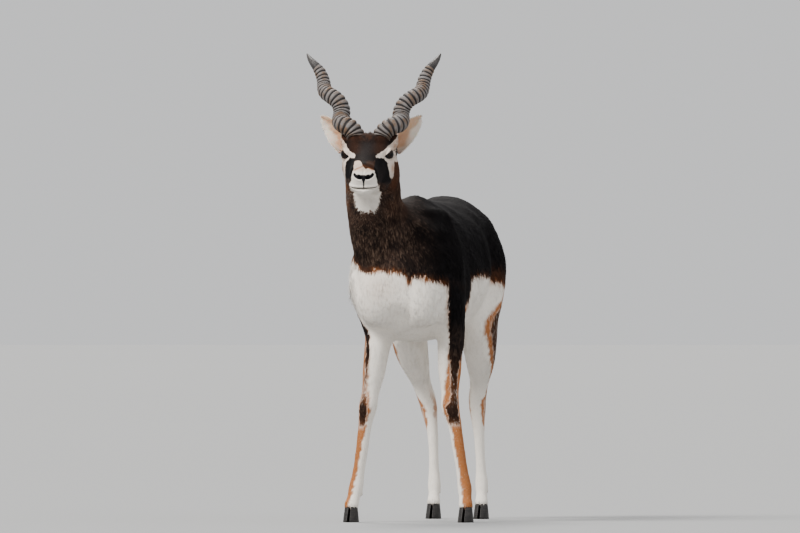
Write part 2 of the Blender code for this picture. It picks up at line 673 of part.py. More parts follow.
def ear(name, sign, collection, grow=0.0):
    """A leaf rolled into a funnel at its root and open towards its tip, given a wall by Solidify."""
    along = Vector((sign * EAR_AIM.x, EAR_AIM.y, EAR_AIM.z)).normalized()
    facing = Vector((sign * 0.42, -0.86, 0.10))
    facing = (facing - along * facing.dot(along)).normalized()
    wide = along.cross(facing)
    root = Vector((sign * EAR_ROOT.x, EAR_ROOT.y, EAR_ROOT.z))
    columns = 8
    bm = bmesh.new()
    grid = []
    for level in ((-0.03,) if grow else ()) + tuple(row[0] for row in EAR_OUTLINE):
        s = max(0.0, level)
        width = EAR_WIDTH * float(np.interp(s, *zip(*EAR_OUTLINE)))
        roll = math.radians(250 - 150 * ramp(s, 0.0, 0.75))
        radius = width / (2 * math.sin(min(roll / 2, math.pi / 2)))
        roll += 7 * grow / radius
        line = []
        for j in range(columns + 1):
            a = roll * (j / columns - 0.5)
            hollow = radius * (1 - math.cos(a))
            place = root + along * (EAR_LENGTH * level) + wide * (radius * math.sin(a))
            place += facing * (hollow - 0.010 * math.sin(math.pi * s))
            line.append(bm.verts.new(HEAD_FRAME @ place))
        grid.append(line)
    for low, high in zip(grid, grid[1:]):
        for j in range(columns):
            bm.faces.new((low[j], low[j + 1], high[j + 1], high[j]))
    obj = add_object(name, bm, collection)
    wall = obj.modifiers.new("Wall", "SOLIDIFY")
    wall.thickness = EAR_THICKNESS + 3 * grow
    wall.offset = 0
    return meshed(obj, collection, "tan")


def eyeball(name, sign, collection, grow=0.0):
    bm = bmesh.new()
    place = HEAD_FRAME @ Matrix.Translation((sign * EYE_SIDE, -EYE_FORWARD, EYE_UP))
    bmesh.ops.create_icosphere(bm, subdivisions=3, radius=EYE_RADIUS + grow, matrix=place)
    return add_object(name, bm, collection, "eye")


def tail(name, collection, grow=0.0):
    """A flat tassel that hangs against the rump."""
    bm = bmesh.new()
    rows = [(TRUNK[-1][0], y, z, half + grow, deep + grow, deep + grow) for y, z, half, deep in TAIL]
    loft(bm, rows, sides=12, steps=2, ends=(0.006 + grow, 0.006 + grow))
    return add_object(name, bm, collection, "dark")


def hoof(name, foot, inner, collection):
    """One toe: flat on the ground and under the leg, pointed in front."""
    x, y = foot
    top = CORONET - CUT_GAP
    wide, gap, inner_share = 0.0112, 0.0008, 0.48
    bm = bmesh.new()
    rings = []
    levels = ((top, 0.94, 0.0150, 0.0150), (top * 0.55, 1.02, 0.0165, 0.0240), (0, 1.10, 0.0180, 0.0330))
    for z, spread, behind, front in levels:
        ring = []
        for k in range(18):
            a = 2 * math.pi * k / 18
            c, s = math.cos(a), math.sin(a)
            flat = inner_share if c * inner < 0 else 1.0
            depth = -front * abs(s) ** 0.9 if s < 0 else behind * s
            pointed = 1 - 0.50 * max(0.0, -s) ** 2.5
            middle = inner * (gap + inner_share * wide * spread * pointed)
            ring.append(Vector((x + middle + c * flat * wide * spread * pointed, y + depth, z)))
        rings.append(ring)
    made = [[bm.verts.new(p) for p in ring] for ring in rings]
    for first, second in zip(made, made[1:]):
        for k in range(18):
            bm.faces.new((first[k], first[(k + 1) % 18], second[(k + 1) % 18], second[k]))
    bm.faces.new(made[0])
    bm.faces.new(made[-1])
    return add_object(name, bm, collection, "hoof")


FINISHES = {"head": "dark", "neck": "dark", "torso": "dark"}


def build():
    clear_scene()
    parts = bpy.data.collections.new("blackbuck")
    helpers = bpy.data.collections.new("cutters")
    for collection in (parts, helpers):
        bpy.context.scene.collection.children.link(collection)

    mesh = remeshed(flesh_lengths(), VOXEL)
    relax(mesh, 40, slackness)
    refine_head(mesh)
    relax(mesh, 3, lambda points: np.full(len(points), 0.5))
    carve_face(mesh)
    flesh = part_flesh(thinned(mesh, FLESH_TRIANGLES, helpers), helpers)

    sockets = []
    for side, sign in SIDES.items():
        for make, name in ((horn, f"horn_{side}"), (ear, f"ear_{side}"), (eyeball, f"eye_{side}")):
            make(name, sign, parts)
            sockets.append(make(f"{name}_socket", sign, helpers, SOCKET_GAP))
    flesh["head"] = combined("head", flesh["head"], "DIFFERENCE", sockets, helpers)
    tail("tail", parts)
    sockets.append(tail("tail_socket", helpers, SOCKET_GAP))
    flesh["torso"] = combined("torso", flesh["torso"], "DIFFERENCE", sockets[-1:], helpers)
    for tool in sockets:
        bpy.data.objects.remove(tool)

    for name, made in flesh.items():
        obj = bpy.data.objects.new(name, made)
        obj.data.materials.clear()
        obj.data.materials.append(material(FINISHES.get(name, "pale")))
        parts.objects.link(obj)

    for side in SIDES:
        for leg, rows in (("fore", foreleg_rows(side)), ("hind", hindleg_rows(side))):
            foot = next(row[:2] for row in rows if row[2] == CORONET)
            for toe, inner in (("outer", SIDES[side]), ("inner", -SIDES[side])):
                hoof(f"hoof_{leg}_{side}_{toe}", foot, inner, parts)

    centre_on_origin(parts)


def centre_on_origin(parts):
    """Moves the animal so that the middle of its box, at ground level, is the origin."""
    points = np.array([v.co for obj in parts.objects for v in obj.data.vertices])
    low, high = points.min(0), points.max(0)
    shift = Matrix.Translation((-(low[0] + high[0]) / 2, -(low[1] + high[1]) / 2, 0))
    for obj in parts.objects:
        obj.data.transform(shift)
        obj.data.shade_smooth()
        if not obj.name.startswith("horn"):
            obj.data.set_sharp_from_angle(angle=math.radians(50))


build()
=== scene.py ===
import math
import random

import bmesh
import bpy
import numpy as np
from mathutils import Matrix, Vector


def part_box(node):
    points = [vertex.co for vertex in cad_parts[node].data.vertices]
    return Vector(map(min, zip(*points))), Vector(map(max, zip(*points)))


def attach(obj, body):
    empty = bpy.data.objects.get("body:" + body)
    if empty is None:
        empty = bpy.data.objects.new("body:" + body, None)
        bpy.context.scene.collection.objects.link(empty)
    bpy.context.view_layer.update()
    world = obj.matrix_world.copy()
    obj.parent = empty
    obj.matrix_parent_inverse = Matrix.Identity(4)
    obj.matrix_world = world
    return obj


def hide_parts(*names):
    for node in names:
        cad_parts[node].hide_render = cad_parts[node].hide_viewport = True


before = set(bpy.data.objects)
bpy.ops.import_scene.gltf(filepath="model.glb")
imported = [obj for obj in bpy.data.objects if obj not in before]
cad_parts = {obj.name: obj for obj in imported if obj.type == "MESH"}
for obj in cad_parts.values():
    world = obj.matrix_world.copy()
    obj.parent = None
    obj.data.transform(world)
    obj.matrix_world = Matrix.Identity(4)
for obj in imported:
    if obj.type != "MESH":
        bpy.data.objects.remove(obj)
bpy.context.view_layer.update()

for spare in ("Cube", "Light", "Camera"):  # the startup scene's own objects
    if spare in bpy.data.objects:
        bpy.data.objects.remove(bpy.data.objects[spare])

# The animal faces -Y, its left is +X, in metres. All is made in the plan's own place and moved at the end.
stance = {
    "eyesAt": (-0.048, -0.403, 0.872),  # point between the eyes
    "facePitch": 14.0,
    "faceYaw": 10.0,
    "foreY": -0.205,  # where the fore cannons stand
    "hindY": 0.372,
    "foreLevels": (0.735, 0.620, 0.560, 0.452, 0.388, 0.340, 0.275, 0.243, 0.200, 0.037),
    "foreSplay": {
        "left": (0.058, 0.096, 0.098, 0.101, 0.103, 0.1015, 0.1045, 0.1125, 0.120, 0.147),
        "right": (-0.066, -0.093, -0.092, -0.0735, -0.075, -0.0825, -0.093, -0.0995, -0.1045, -0.130),
    },
    "foreStep": {"left": 0.012, "right": -0.012},
    "hindLevels": (0.715, 0.640, 0.49, 0.424, 0.388, 0.340, 0.310, 0.287, 0.243, 0.200, 0.037),
    "hindSplay": {
        "left": (0.045, 0.064, 0.066, 0.063, 0.058, 0.0455, 0.036, 0.032, 0.034, 0.0385, 0.052),
        "right": (-0.078, -0.100, -0.112, -0.114, -0.112, -0.110, -0.103, -0.0985, -0.090, -0.083, -0.0735),
    },
    "hindStep": {"left": -0.012, "right": 0.012},
    "fetlockUp": 0.082,  # heights of two of the legs' rows
    "pasternUp": 0.037,
}
sides = {"left": 1, "right": -1}
headFrame = (
    Matrix.Translation(stance["eyesAt"])
    @ Matrix.Rotation(math.radians(stance["faceYaw"]), 4, "Z")
    @ Matrix.Rotation(math.radians(stance["facePitch"]), 4, "X")
)
eye = {"side": 0.0470, "forward": 0.004, "up": 0.010, "radius": 0.0165, "look": (0.79, -0.61, 0.10)}


def eyeCentre(sign):
    return Vector((sign * eye["side"], -eye["forward"], eye["up"]))


eyeLow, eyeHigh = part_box("eye_left")
toFrame = Matrix.Translation((eyeLow + eyeHigh) / 2 - headFrame @ eyeCentre(1))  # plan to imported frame


# node writing
class Wire:  # a socket that can be added, multiplied and so on

    def __init__(self, tree, socket=None):
        self.tree, self.socket = tree, socket

    def node(self, kind, settings=None, sockets=None, out=0):
        made = self.tree.nodes.new(kind)
        for name, value in (settings or {}).items():
            setattr(made, name, value)
        for name, value in (sockets or {}).items():
            if isinstance(value, Wire):
                self.tree.links.new(value.socket, made.inputs[name])
            else:
                made.inputs[name].default_value = value
        return Wire(self.tree, made.outputs[out])

    def maths(self, operation, *values, clamp=False):
        settings = {"operation": operation, "use_clamp": clamp}
        return self.node("ShaderNodeMath", settings, dict(enumerate(values)))

    def __add__(self, other):
        return self.maths("ADD", self, other)

    def __sub__(self, other):
        return self.maths("SUBTRACT", self, other)

    def __rsub__(self, other):
        return self.maths("SUBTRACT", other, self)

    def __mul__(self, other):
        return self.maths("MULTIPLY", self, other)

    def __truediv__(self, other):
        return self.maths("DIVIDE", self, other)

    def __pow__(self, other):
        return self.maths("POWER", self, other)

    __radd__, __rmul__ = __add__, __mul__

    def clamped(self):
        return self.maths("ADD", self, 0.0, clamp=True)

    def step(self, low, high):  # smooth step of this value
        smooth = {"interpolation_type": "SMOOTHSTEP"}
        return self.node("ShaderNodeMapRange", smooth, {0: self, 1: low, 2: high})

    def mixed(self, first, second):  # first where this is 0, second where it is 1
        return self.node("ShaderNodeMix", {"data_type": "RGBA"}, {0: self, 6: first, 7: second}, 2)

    def vector(self, operation, *others, by=None, out=0):  # vector maths with this as the first vector
        sockets = dict(enumerate((self, *others)))
        if by is not None:
            sockets[3] = by
        return self.node("ShaderNodeVectorMath", {"operation": operation}, sockets, out)

    def place(self):  # Object coordinates
        return self.node("ShaderNodeTexCoord", out=3)

    def noise(self, scale, detail, **more):  # noise over this place
        return self.node("ShaderNodeTexNoise", sockets={0: self, "Scale": scale, "Detail": detail, **more})

    def bump(self, strength, distance):  # the normal that this height raises
        sockets = {"Strength": strength, "Distance": distance, "Height": self}
        return self.node("ShaderNodeBump", sockets=sockets)

    def attribute(self, name):
        return self.node("ShaderNodeAttribute", {"attribute_name": name}, out=2)

    def field(self, name, kind="FLOAT"):
        return self.node("GeometryNodeInputNamedAttribute", {"data_type": kind}, {0: name})

    def kept(self, name, value, kind="FLOAT", domain="POINT"):  # this geometry with a value stored on it
        settings = {"data_type": kind, "domain": domain}
        return self.node("GeometryNodeStoreNamedAttribute", settings, {0: self, 2: name, 3: value})


def finish(name, build, roughness=0.8, **fixed):  # a material whose build gets (wire, principled node)
    made = bpy.data.materials.new(name)
    made.use_nodes = True
    tree = made.node_tree
    shader = tree.nodes["Principled BSDF"]
    shader.inputs["Roughness"].default_value = roughness
    for key, value in fixed.items():
        shader.inputs[key.replace("_", " ")].default_value = value
    build(Wire(tree), shader)
    return made


def feed(wire, shader, socket, value):
    wire.tree.links.new(value.socket, shader.inputs[socket])


def newTree(name, given):  # a geometry tree with these inputs, as a wire, and its inputs by name
    tree = bpy.data.node_groups.new(name, "GeometryNodeTree")
    tree.interface.new_socket("Geometry", in_out="OUTPUT", socket_type="NodeSocketGeometry")
    for key, kind in given.items():
        tree.interface.new_socket(key, in_out="INPUT", socket_type="NodeSocket" + kind)
    inputs = tree.nodes.new("NodeGroupInput").outputs
    return Wire(tree), {socket.name: Wire(tree, socket) for socket in inputs if socket.name}


def closeTree(geometry, surface):  # gives the geometry its material and ends the tree
    done = geometry.node("GeometryNodeSetMaterial", sockets={0: geometry, 2: surface})
    done.tree.links.new(done.socket, done.tree.nodes.new("NodeGroupOutput").inputs[0])
    return done.tree


# shape writing
def blended(rows, steps):  # Catmull-Rom through rows of numbers, spaced by their first three
    rows = np.array(rows, float)
    gaps = np.linalg.norm(np.diff(rows[:, :3], axis=0), axis=1)[:, None]
    slopes = np.diff(rows, axis=0) / gaps
    inner = (slopes[:-1] * gaps[1:] + slopes[1:] * gaps[:-1]) / (gaps[:-1] + gaps[1:])
    tangents = np.vstack([slopes[:1], inner, slopes[-1:]])
    out = []
    for i, gap in enumerate(gaps):
        for t in np.arange(steps) / steps:
            out.append(
                (2 * t**3 - 3 * t**2 + 1) * rows[i]
                + (t**3 - 2 * t**2 + t) * gap * tangents[i]
                + (3 * t**2 - 2 * t**3) * rows[i + 1]
                + (t**3 - t**2) * gap * tangents[i + 1]
            )
    return np.array([*out, rows[-1]])


def skinRings(bm, rings):  # joins equal rings in order, with a fan on each end
    made = [[bm.verts.new(point) for point in ring] for ring in rings]
    count = len(made[0])
    for first, second in zip(made, made[1:]):
        for k in range(count):
            bm.faces.new((first[k], first[(k + 1) % count], second[(k + 1) % count], second[k]))
    for ring in (made[0], made[-1]):
        centre = bm.verts.new(sum((v.co for v in ring), Vector()) / count)
        for k in range(count):
            bm.faces.new((ring[k], ring[(k + 1) % count], centre))


def loft(bm, rows, around=24, ends=(0.0, 0.0), place=Matrix()):
    # rows of side, along, up, half width, half depth behind, in front, and roundness behind
    rows = [row if len(row) == 7 else (*row, 2.0) for row in rows]
    stations = blended(rows, 5)
    centres = stations[:, :3]
    tangents = np.gradient(centres, axis=0)
    tangents /= np.linalg.norm(tangents, axis=1)[:, None]
    shrink = []
    for at, bulge, way in ((0, ends[0], -1), (len(stations) - 1, ends[1], 1)):
        turns = [math.radians(a) for a in (30, 55, 76)] if bulge else []
        shrink.append([(at, math.cos(a), way * bulge * math.sin(a)) for a in turns])
    order = shrink[0][::-1] + [(i, 1.0, 0.0) for i in range(len(stations))] + shrink[1]
    rings = []
    for i, scale, shift in order:
        tangent = Vector(tangents[i])
        across = (Vector((1, 0, 0)) - tangent * tangent.x).normalized()
        behind = across.cross(tangent)
        middle = Vector(centres[i]) + tangent * shift
        wide, back, front, power = stations[i, 3:]
        ring = []
        for k in range(around):
            c, s = math.cos(2 * math.pi * k / around), math.sin(2 * math.pi * k / around)
            bend = 2 / (power if s > 0 else 2.0)
            x = wide * math.copysign(abs(c) ** bend, c)
            y = (back if s > 0 else front) * math.copysign(abs(s) ** bend, s)
            ring.append(place @ (middle + (across * x + behind * y) * scale))
        rings.append(ring)
    skinRings(bm, rings)


def mass(bm, centre, radii, place=Matrix()):
    where = place @ Matrix.Translation(centre) @ Matrix.Diagonal((*radii, 1))
    bmesh.ops.create_icosphere(bm, subdivisions=3, radius=1, matrix=where)


def newObject(name, bm):
    bmesh.ops.recalc_face_normals(bm, faces=bm.faces)
    mesh = bpy.data.meshes.new(name)
    bm.to_mesh(mesh)
    bm.free()
    made = bpy.data.objects.new(name, mesh)
    bpy.context.scene.collection.objects.link(made)
    return made


def evaluated(obj):  # the object's finished mesh, as new plain data
    graph = bpy.context.evaluated_depsgraph_get()
    return bpy.data.meshes.new_from_object(obj.evaluated_get(graph))


def ramp(values, low, high):
    t = np.clip((values - low) / (high - low), 0, 1)
    return t * t * (3 - 2 * t)


def hump(distance, width):
    return np.exp(-((distance / width) ** 2))


def coordinates(mesh):
    points = np.empty(len(mesh.vertices) * 3)
    mesh.vertices.foreach_get("co", points)
    return points.reshape(-1, 3)


def setCoordinates(mesh, points):
    mesh.vertices.foreach_set("co", points.ravel())
    mesh.update()


def normalsOf(mesh):
    normals = np.empty(len(mesh.vertices) * 3, np.float32)
    mesh.vertex_normals.foreach_get("vector", normals)
    return normals.reshape(-1, 3).astype(float)


def store(mesh, name, values, kind="FLOAT"):
    if name in mesh.attributes:
        mesh.attributes.remove(mesh.attributes[name])
    layer = mesh.attributes.new(name, kind, "POINT")
    key = "vector" if kind == "FLOAT_VECTOR" else "value"
    layer.data.foreach_set(key, np.asarray(values, np.float32).ravel())


def inHead(points):
    turn = np.array(headFrame.inverted())
    return points @ turn[:3, :3].T + turn[:3, 3]


def fromHead(points):
    turn = np.array(headFrame)
    return points @ turn[:3, :3].T + turn[:3, 3]


def unit(vectors):
    return vectors / np.maximum(np.linalg.norm(vectors, axis=-1, keepdims=True), 1e-9)


def toSide(sign, place):
    return Vector((sign * place[0], *place[1:]))


def halfSigns(points):  # -1 along x for a point right of the middle, to lay the right half on the left one
    signs = np.ones((len(points), 3))
    signs[:, 0] = np.sign(points[:, 0])
    return signs


def wander(points, size, seed=0):  # smooth wandering value of about -1 to 1, of a wavelength size
    rng = np.random.default_rng(seed)
    total = np.zeros(len(points))
    for _ in range(7):
        way = unit(rng.normal(size=3)) * 2 * math.pi / size * rng.uniform(0.6, 1.6)
        total += np.sin(points @ way + rng.uniform(0, 7))
    return total / 2.6


# camera and light
view = {
    "azimuth": 14.0,
    "distance": 40.0,
    "middle": (-0.0665, 0.613),  # what the picture's middle shows, across and up
    "pixelsPerMetre": 415.0,
    "pictureWidth": 800,
    "sensor": 36.0,
}
suns = {  # azimuth as the camera's, 0 in front of the animal, height, power, spread and colour
    "key": (-38, 42, 3.0, 24, (1.0, 0.975, 0.94)),
    "fill": (62, 24, 0.6, 60, (0.94, 0.97, 1.0)),
    "rim": (205, 46, 2.0, 20, (1.0, 0.97, 0.93)),
}
studio = {"sky": 0.62, "skyColour": (0.985, 0.99, 1.0, 1), "floor": 0.343, "floorRadius": 90}


def makeCamera():
    turn = math.radians(view["azimuth"])
    right, back = Vector((math.cos(turn), math.sin(turn), 0)), Vector((math.sin(turn), -math.cos(turn), 0))
    target = right * view["middle"][0] + Vector((0, 0, view["middle"][1]))
    camera = bpy.data.objects.new("camera", bpy.data.cameras.new("camera"))
    bpy.context.scene.collection.objects.link(camera)
    camera.location = toFrame @ (target + back * view["distance"])
    camera.rotation_euler = (math.radians(90), 0, turn)
    camera.data.sensor_width = view["sensor"]
    camera.data.lens = view["sensor"] * view["distance"] / (view["pictureWidth"] / view["pixelsPerMetre"])
    camera.data.clip_start, camera.data.clip_end = 1, 200
    bpy.context.scene.camera = camera


def softSun(name, azimuth, height, power, spread, colour):
    lamp = bpy.data.lights.new(name, "SUN")
    lamp.energy, lamp.angle, lamp.color = power, math.radians(spread), colour
    made = bpy.data.objects.new(name, lamp)
    bpy.context.scene.collection.objects.link(made)
    a, h = math.radians(azimuth), math.radians(height)
    towards = Vector((math.sin(a) * math.cos(h), -math.cos(a) * math.cos(h), math.sin(h)))
    made.location = towards * 4
    made.rotation_euler = towards.to_track_quat("Z", "Y").to_euler()


def paleFloor(wire, shader):
    grain = wire.node("ShaderNodeTexNoise", sockets={"Scale": 5.0, "Detail": 3.0})
    base = studio["floor"]
    dull, bright = (base * 0.985, base * 0.993, base, 1), (base * 1.03, base * 1.04, base * 1.05, 1)
    feed(wire, shader, "Base Color", grain.mixed(dull, bright))


def makeStudio():
    bm = bmesh.new()
    bmesh.ops.create_circle(bm, cap_ends=True, segments=96, radius=studio["floorRadius"])
    floor = newObject("floor", bm)
    floor.data.materials.append(finish("pale floor", paleFloor, 0.95, Specular_IOR_Level=0.1))
    for name, setting in suns.items():
        softSun(name, *setting)
    world = bpy.data.worlds.new("studio")
    world.use_nodes = True
    world.node_tree.nodes["Background"].inputs[0].default_value = studio["skyColour"]
    world.node_tree.nodes["Background"].inputs[1].default_value = studio["sky"]
    bpy.context.scene.world = world
    bpy.context.scene.view_settings.view_transform = "AgX"
    bpy.context.scene.view_settings.look = "AgX - Medium High Contrast"


makeCamera()
makeStudio()
print("camera and studio made")

# flesh
flesh = {
    "voxel": 0.0050,
    "trunk": [  # side, along, spine height, underline height, half width, widest height, roundness above
        (0.002, -0.306, 0.628, 0.505, 0.056, 0.570, 2.0),
        (0.002, -0.276, 0.684, 0.462, 0.100, 0.572, 2.0),
        (0.001, -0.220, 0.748, 0.437, 0.131, 0.575, 1.8),
        (-0.004, -0.130, 0.788, 0.430, 0.139, 0.575, 1.6),
        (-0.008, 0.000, 0.781, 0.433, 0.143, 0.585, 1.7),
        (-0.012, 0.120, 0.781, 0.453, 0.142, 0.607, 1.9),
        (-0.018, 0.220, 0.787, 0.492, 0.130, 0.640, 2.1),
        (-0.021, 0.300, 0.788, 0.535, 0.116, 0.660, 2.0),
        (-0.022, 0.360, 0.752, 0.580, 0.094, 0.655, 1.9),
        (-0.022, 0.400, 0.694, 0.615, 0.056, 0.650, 2.0),
    ],
    "neck": [  # side, along, up, half width, half depth towards the nape, towards the throat
        (-0.050, -0.350, 0.890, 0.046, 0.046, 0.050),
        (-0.051, -0.336, 0.860, 0.062, 0.060, 0.062),
        (-0.059, -0.311, 0.812, 0.065, 0.074, 0.074),
        (-0.063, -0.276, 0.757, 0.068, 0.089, 0.090),
        (-0.058, -0.236, 0.700, 0.0725, 0.110, 0.114),
        (-0.032, -0.180, 0.645, 0.084, 0.130, 0.142),
        (-0.012, -0.110, 0.600, 0.090, 0.145, 0.150),
    ],
    "head": [  # forward of the eyes, middle height, half width, crown height, jaw depth
        (0.134, -0.016, 0.0265, 0.020, 0.025),
        (0.124, -0.016, 0.0330, 0.030, 0.037),
        (0.103, -0.018, 0.0365, 0.036, 0.044),
        (0.073, -0.020, 0.0400, 0.044, 0.050),
        (0.038, -0.022, 0.0490, 0.054, 0.060),
        (0.003, -0.022, 0.0595, 0.065, 0.068),
        (-0.032, -0.022, 0.0630, 0.073, 0.072),
        (-0.065, -0.022, 0.0560, 0.064, 0.062),
        (-0.095, -0.022, 0.0410, 0.042, 0.040),
    ],
    "foreleg": [  # up, along from the cannon, half width, half depth behind, in front
        (0.735, 0.062, 0.030, 0.036, 0.036),
        (0.660, 0.020, 0.043, 0.068, 0.066),
        (0.580, -0.012, 0.047, 0.086, 0.082),
        (0.510, 0.006, 0.042, 0.080, 0.066),
        (0.452, 0.018, 0.036, 0.062, 0.044),
        (0.405, 0.004, 0.0320, 0.038, 0.035),
        (0.355, 0.002, 0.0285, 0.028, 0.028),
        (0.308, 0.000, 0.0225, 0.0215, 0.0220),
        (0.275, -0.002, 0.0235, 0.0215, 0.0250),
        (0.243, 0.001, 0.0186, 0.0190, 0.0185),
        (0.175, 0.000, 0.0158, 0.0170, 0.0155),
        (0.110, 0.000, 0.0152, 0.0170, 0.0150),
        (0.082, -0.002, 0.0175, 0.0210, 0.0175),
        (0.056, -0.011, 0.0152, 0.0155, 0.0150),
        (0.037, -0.020, 0.0178, 0.0165, 0.0175),
        (0.030, -0.023, 0.0155, 0.0140, 0.0155),
    ],
    "hindleg": [
        (0.715, -0.110, 0.044, 0.080, 0.080),
        (0.650, -0.100, 0.058, 0.118, 0.108),
        (0.570, -0.102, 0.061, 0.118, 0.112),
        (0.490, -0.118, 0.049, 0.098, 0.094),
        (0.430, -0.094, 0.0440, 0.068, 0.060),
        (0.378, -0.052, 0.0350, 0.042, 0.042),
        (0.330, -0.010, 0.0240, 0.0260, 0.0260),
        (0.287, 0.014, 0.0222, 0.0270, 0.0300),
        (0.262, 0.0135, 0.0210, 0.0225, 0.0240),
        (0.240, 0.0115, 0.0175, 0.0190, 0.0195),
        (0.205, 0.0075, 0.0142, 0.0165, 0.0165),
        (0.175, 0.004, 0.0128, 0.0155, 0.0155),
        (0.112, -0.004, 0.0132, 0.0158, 0.0145),
        (0.082, -0.008, 0.0162, 0.0200, 0.0170),
        (0.056, -0.018, 0.0138, 0.0145, 0.0140),
        (0.037, -0.027, 0.0170, 0.0160, 0.0170),
        (0.030, -0.030, 0.0150, 0.0135, 0.0150),
    ],
    "tailSide": -0.022,
    "tail": [  # along, up, half width, half depth
        (0.395, 0.728, 0.015, 0.013),
        (0.425, 0.716, 0.015, 0.011),
        (0.445, 0.684, 0.014, 0.008),
        (0.449, 0.640, 0.013, 0.007),
        (0.445, 0.600, 0.009, 0.006),
        (0.439, 0.580, 0.004, 0.003),
    ],
    # grooves and, where the depth is negative, ridges: mirrored, points, width, depth
    "folds": [
        (True, [(0.130, -0.090, 0.70), (0.148, -0.085, 0.62), (0.146, -0.085, 0.53)], 0.024, 0.007),
        (True, [(0.060, -0.205, 0.745), (0.100, -0.240, 0.67), (0.118, -0.262, 0.60)], 0.016, 0.006),
        (True, [(0.085, -0.135, 0.765), (0.118, -0.175, 0.67), (0.140, -0.215, 0.60)], 0.015, -0.004),
        (True, [(0.112, 0.200, 0.68), (0.122, 0.205, 0.60), (0.118, 0.195, 0.54)], 0.032, 0.010),
        (True, [(0.104, 0.300, 0.70), (0.112, 0.350, 0.62), (0.086, 0.400, 0.50)], 0.014, 0.004),
        (False, [(-0.112, -0.282, 0.605), (-0.092, -0.300, 0.555), (-0.066, -0.280, 0.480)], 0.010, 0.006),
        (False, [(0.112, -0.275, 0.600), (0.088, -0.296, 0.545), (0.064, -0.275, 0.475)], 0.010, 0.005),
        (False, [(0.045, -0.325, 0.600), (0.034, -0.318, 0.530), (0.018, -0.280, 0.450)], 0.010, 0.004),
        (True, [(0.052, -0.330, 0.820), (0.050, -0.290, 0.760)], 0.014, 0.003),
    ],
}


def legRows(leg, side):  # rows for the loft of one leg
    levels, splay = stance[leg + "Levels"][::-1], stance[leg + "Splay"][side][::-1]
    rows = []
    for up, along, *girth in flesh[leg + "leg"]:
        share = min(1.0, max(0.0, (0.60 - up) / 0.25))  # of the step, which the low part of the leg takes
        y = stance[leg + "Y"] + along + stance[leg + "Step"][side] * share
        rows.append((float(np.interp(up, levels, splay)), y, up, *girth))
    return rows


def legMiddle(leg, side, height):  # side and along of the row at this height
    return next(row[:2] for row in legRows(leg, side) if row[2] == height)


def fleshLengths():
    bm = bmesh.new()
    trunk = [
        (side, y, widest, half, spine - widest, widest - under, power)
        for side, y, spine, under, half, widest, power in flesh["trunk"]
    ]
    head = [(0, -ahead, middle, half, crown, jaw, 2.2) for ahead, middle, half, crown, jaw in flesh["head"]]
    loft(bm, trunk, around=48, ends=(0.020, 0.028))
    loft(bm, flesh["neck"], around=40, ends=(0.010, 0.010))
    loft(bm, head, around=40, ends=(0.010, 0.014), place=headFrame)
    for side, sign in sides.items():
        loft(bm, legRows("fore", side), ends=(0.02, 0))
        loft(bm, legRows("hind", side), ends=(0.03, 0))
        headMasses(bm, sign)
        bodyMasses(bm, side, sign)
    mass(bm, (0, -0.115, -0.0525), (0.0225, 0.027, 0.0125), headFrame)  # chin
    mass(bm, (0, -0.128, -0.020), (0.0200, 0.0155, 0.0240), headFrame)  # nose pad
    mass(bm, (-0.012, 0.150, 0.452), (0.015, 0.060, 0.020))  # sheath
    return bm


def headMasses(bm, sign):
    mass(bm, eyeCentre(sign) - Vector((sign * 0.008, 0, 0)), (0.0215, 0.0265, 0.0215), headFrame)  # orbit
    mass(bm, (sign * 0.026, 0.028, 0.030), (0.026, 0.030, 0.020), headFrame)  # horn's base
    mass(bm, (sign * 0.0475, 0.087, -0.004), (0.021, 0.021, 0.022), headFrame)  # ear's base
    mass(bm, (sign * 0.053, 0.068, 0.026), (0.018, 0.030, 0.025), headFrame)  # between ear and horn
    mass(bm, (sign * 0.032, -0.010, -0.050), (0.020, 0.050, 0.030), headFrame)  # cheek
    mass(bm, (sign * 0.0180, -0.105, -0.037), (0.0195, 0.033, 0.0125), headFrame)  # lips
    mass(bm, (sign * 0.0125, -0.128, -0.011), (0.0140, 0.0140, 0.0130), headFrame)  # nostril's wing


def bodyMasses(bm, side, sign):
    mass(bm, (0.002 + sign * 0.056, -0.270, 0.545), (0.062, 0.058, 0.085))  # breast
    mass(bm, (stance["foreSplay"][side][3], stance["foreY"] + 0.075, 0.462), (0.018, 0.022, 0.026))  # elbow
    mass(bm, (-0.022 + sign * 0.017, 0.300, 0.492), (0.021, 0.026, 0.040))  # scrotum
    for leg in ("fore", "hind"):
        x, y = legMiddle(leg, side, stance["fetlockUp"])
        for inner in (-1, 1):
            mass(bm, (x + inner * 0.0085, y + 0.019, 0.068), (0.0055, 0.0060, 0.0100))  # dewclaw's mound


def relax(mesh, rounds, weight):
    points = coordinates(mesh)
    count = len(points)
    edges = np.empty(len(mesh.edges) * 2, int)
    mesh.edges.foreach_get("vertices", edges)
    a, b = edges.reshape(-1, 2).T
    degree = np.bincount(np.concatenate([a, b]), minlength=count)[:, None]
    pull = weight(points)[:, None] * 0.5
    for _ in range(rounds):
        total = np.zeros_like(points)
        for k in range(3):
            total[:, k] = np.bincount(a, points[b, k], count) + np.bincount(b, points[a, k], count)
        points += pull * (total / degree - points)
    setCoordinates(mesh, points)


def slackness(points):  # how far smoothing may move a point: fully on the trunk, little on face and legs
    lowLeg = ramp(points[:, 2], 0.40, 0.52)
    nearHead = ramp(np.linalg.norm(inHead(points) - (0, 0.0, -0.02), axis=1), 0.13, 0.20)
    return 0.10 + 0.90 * lowLeg * nearHead


def toEye(local):
    return np.linalg.norm(np.abs(local) - np.abs(np.array(eyeCentre(1))), axis=1)


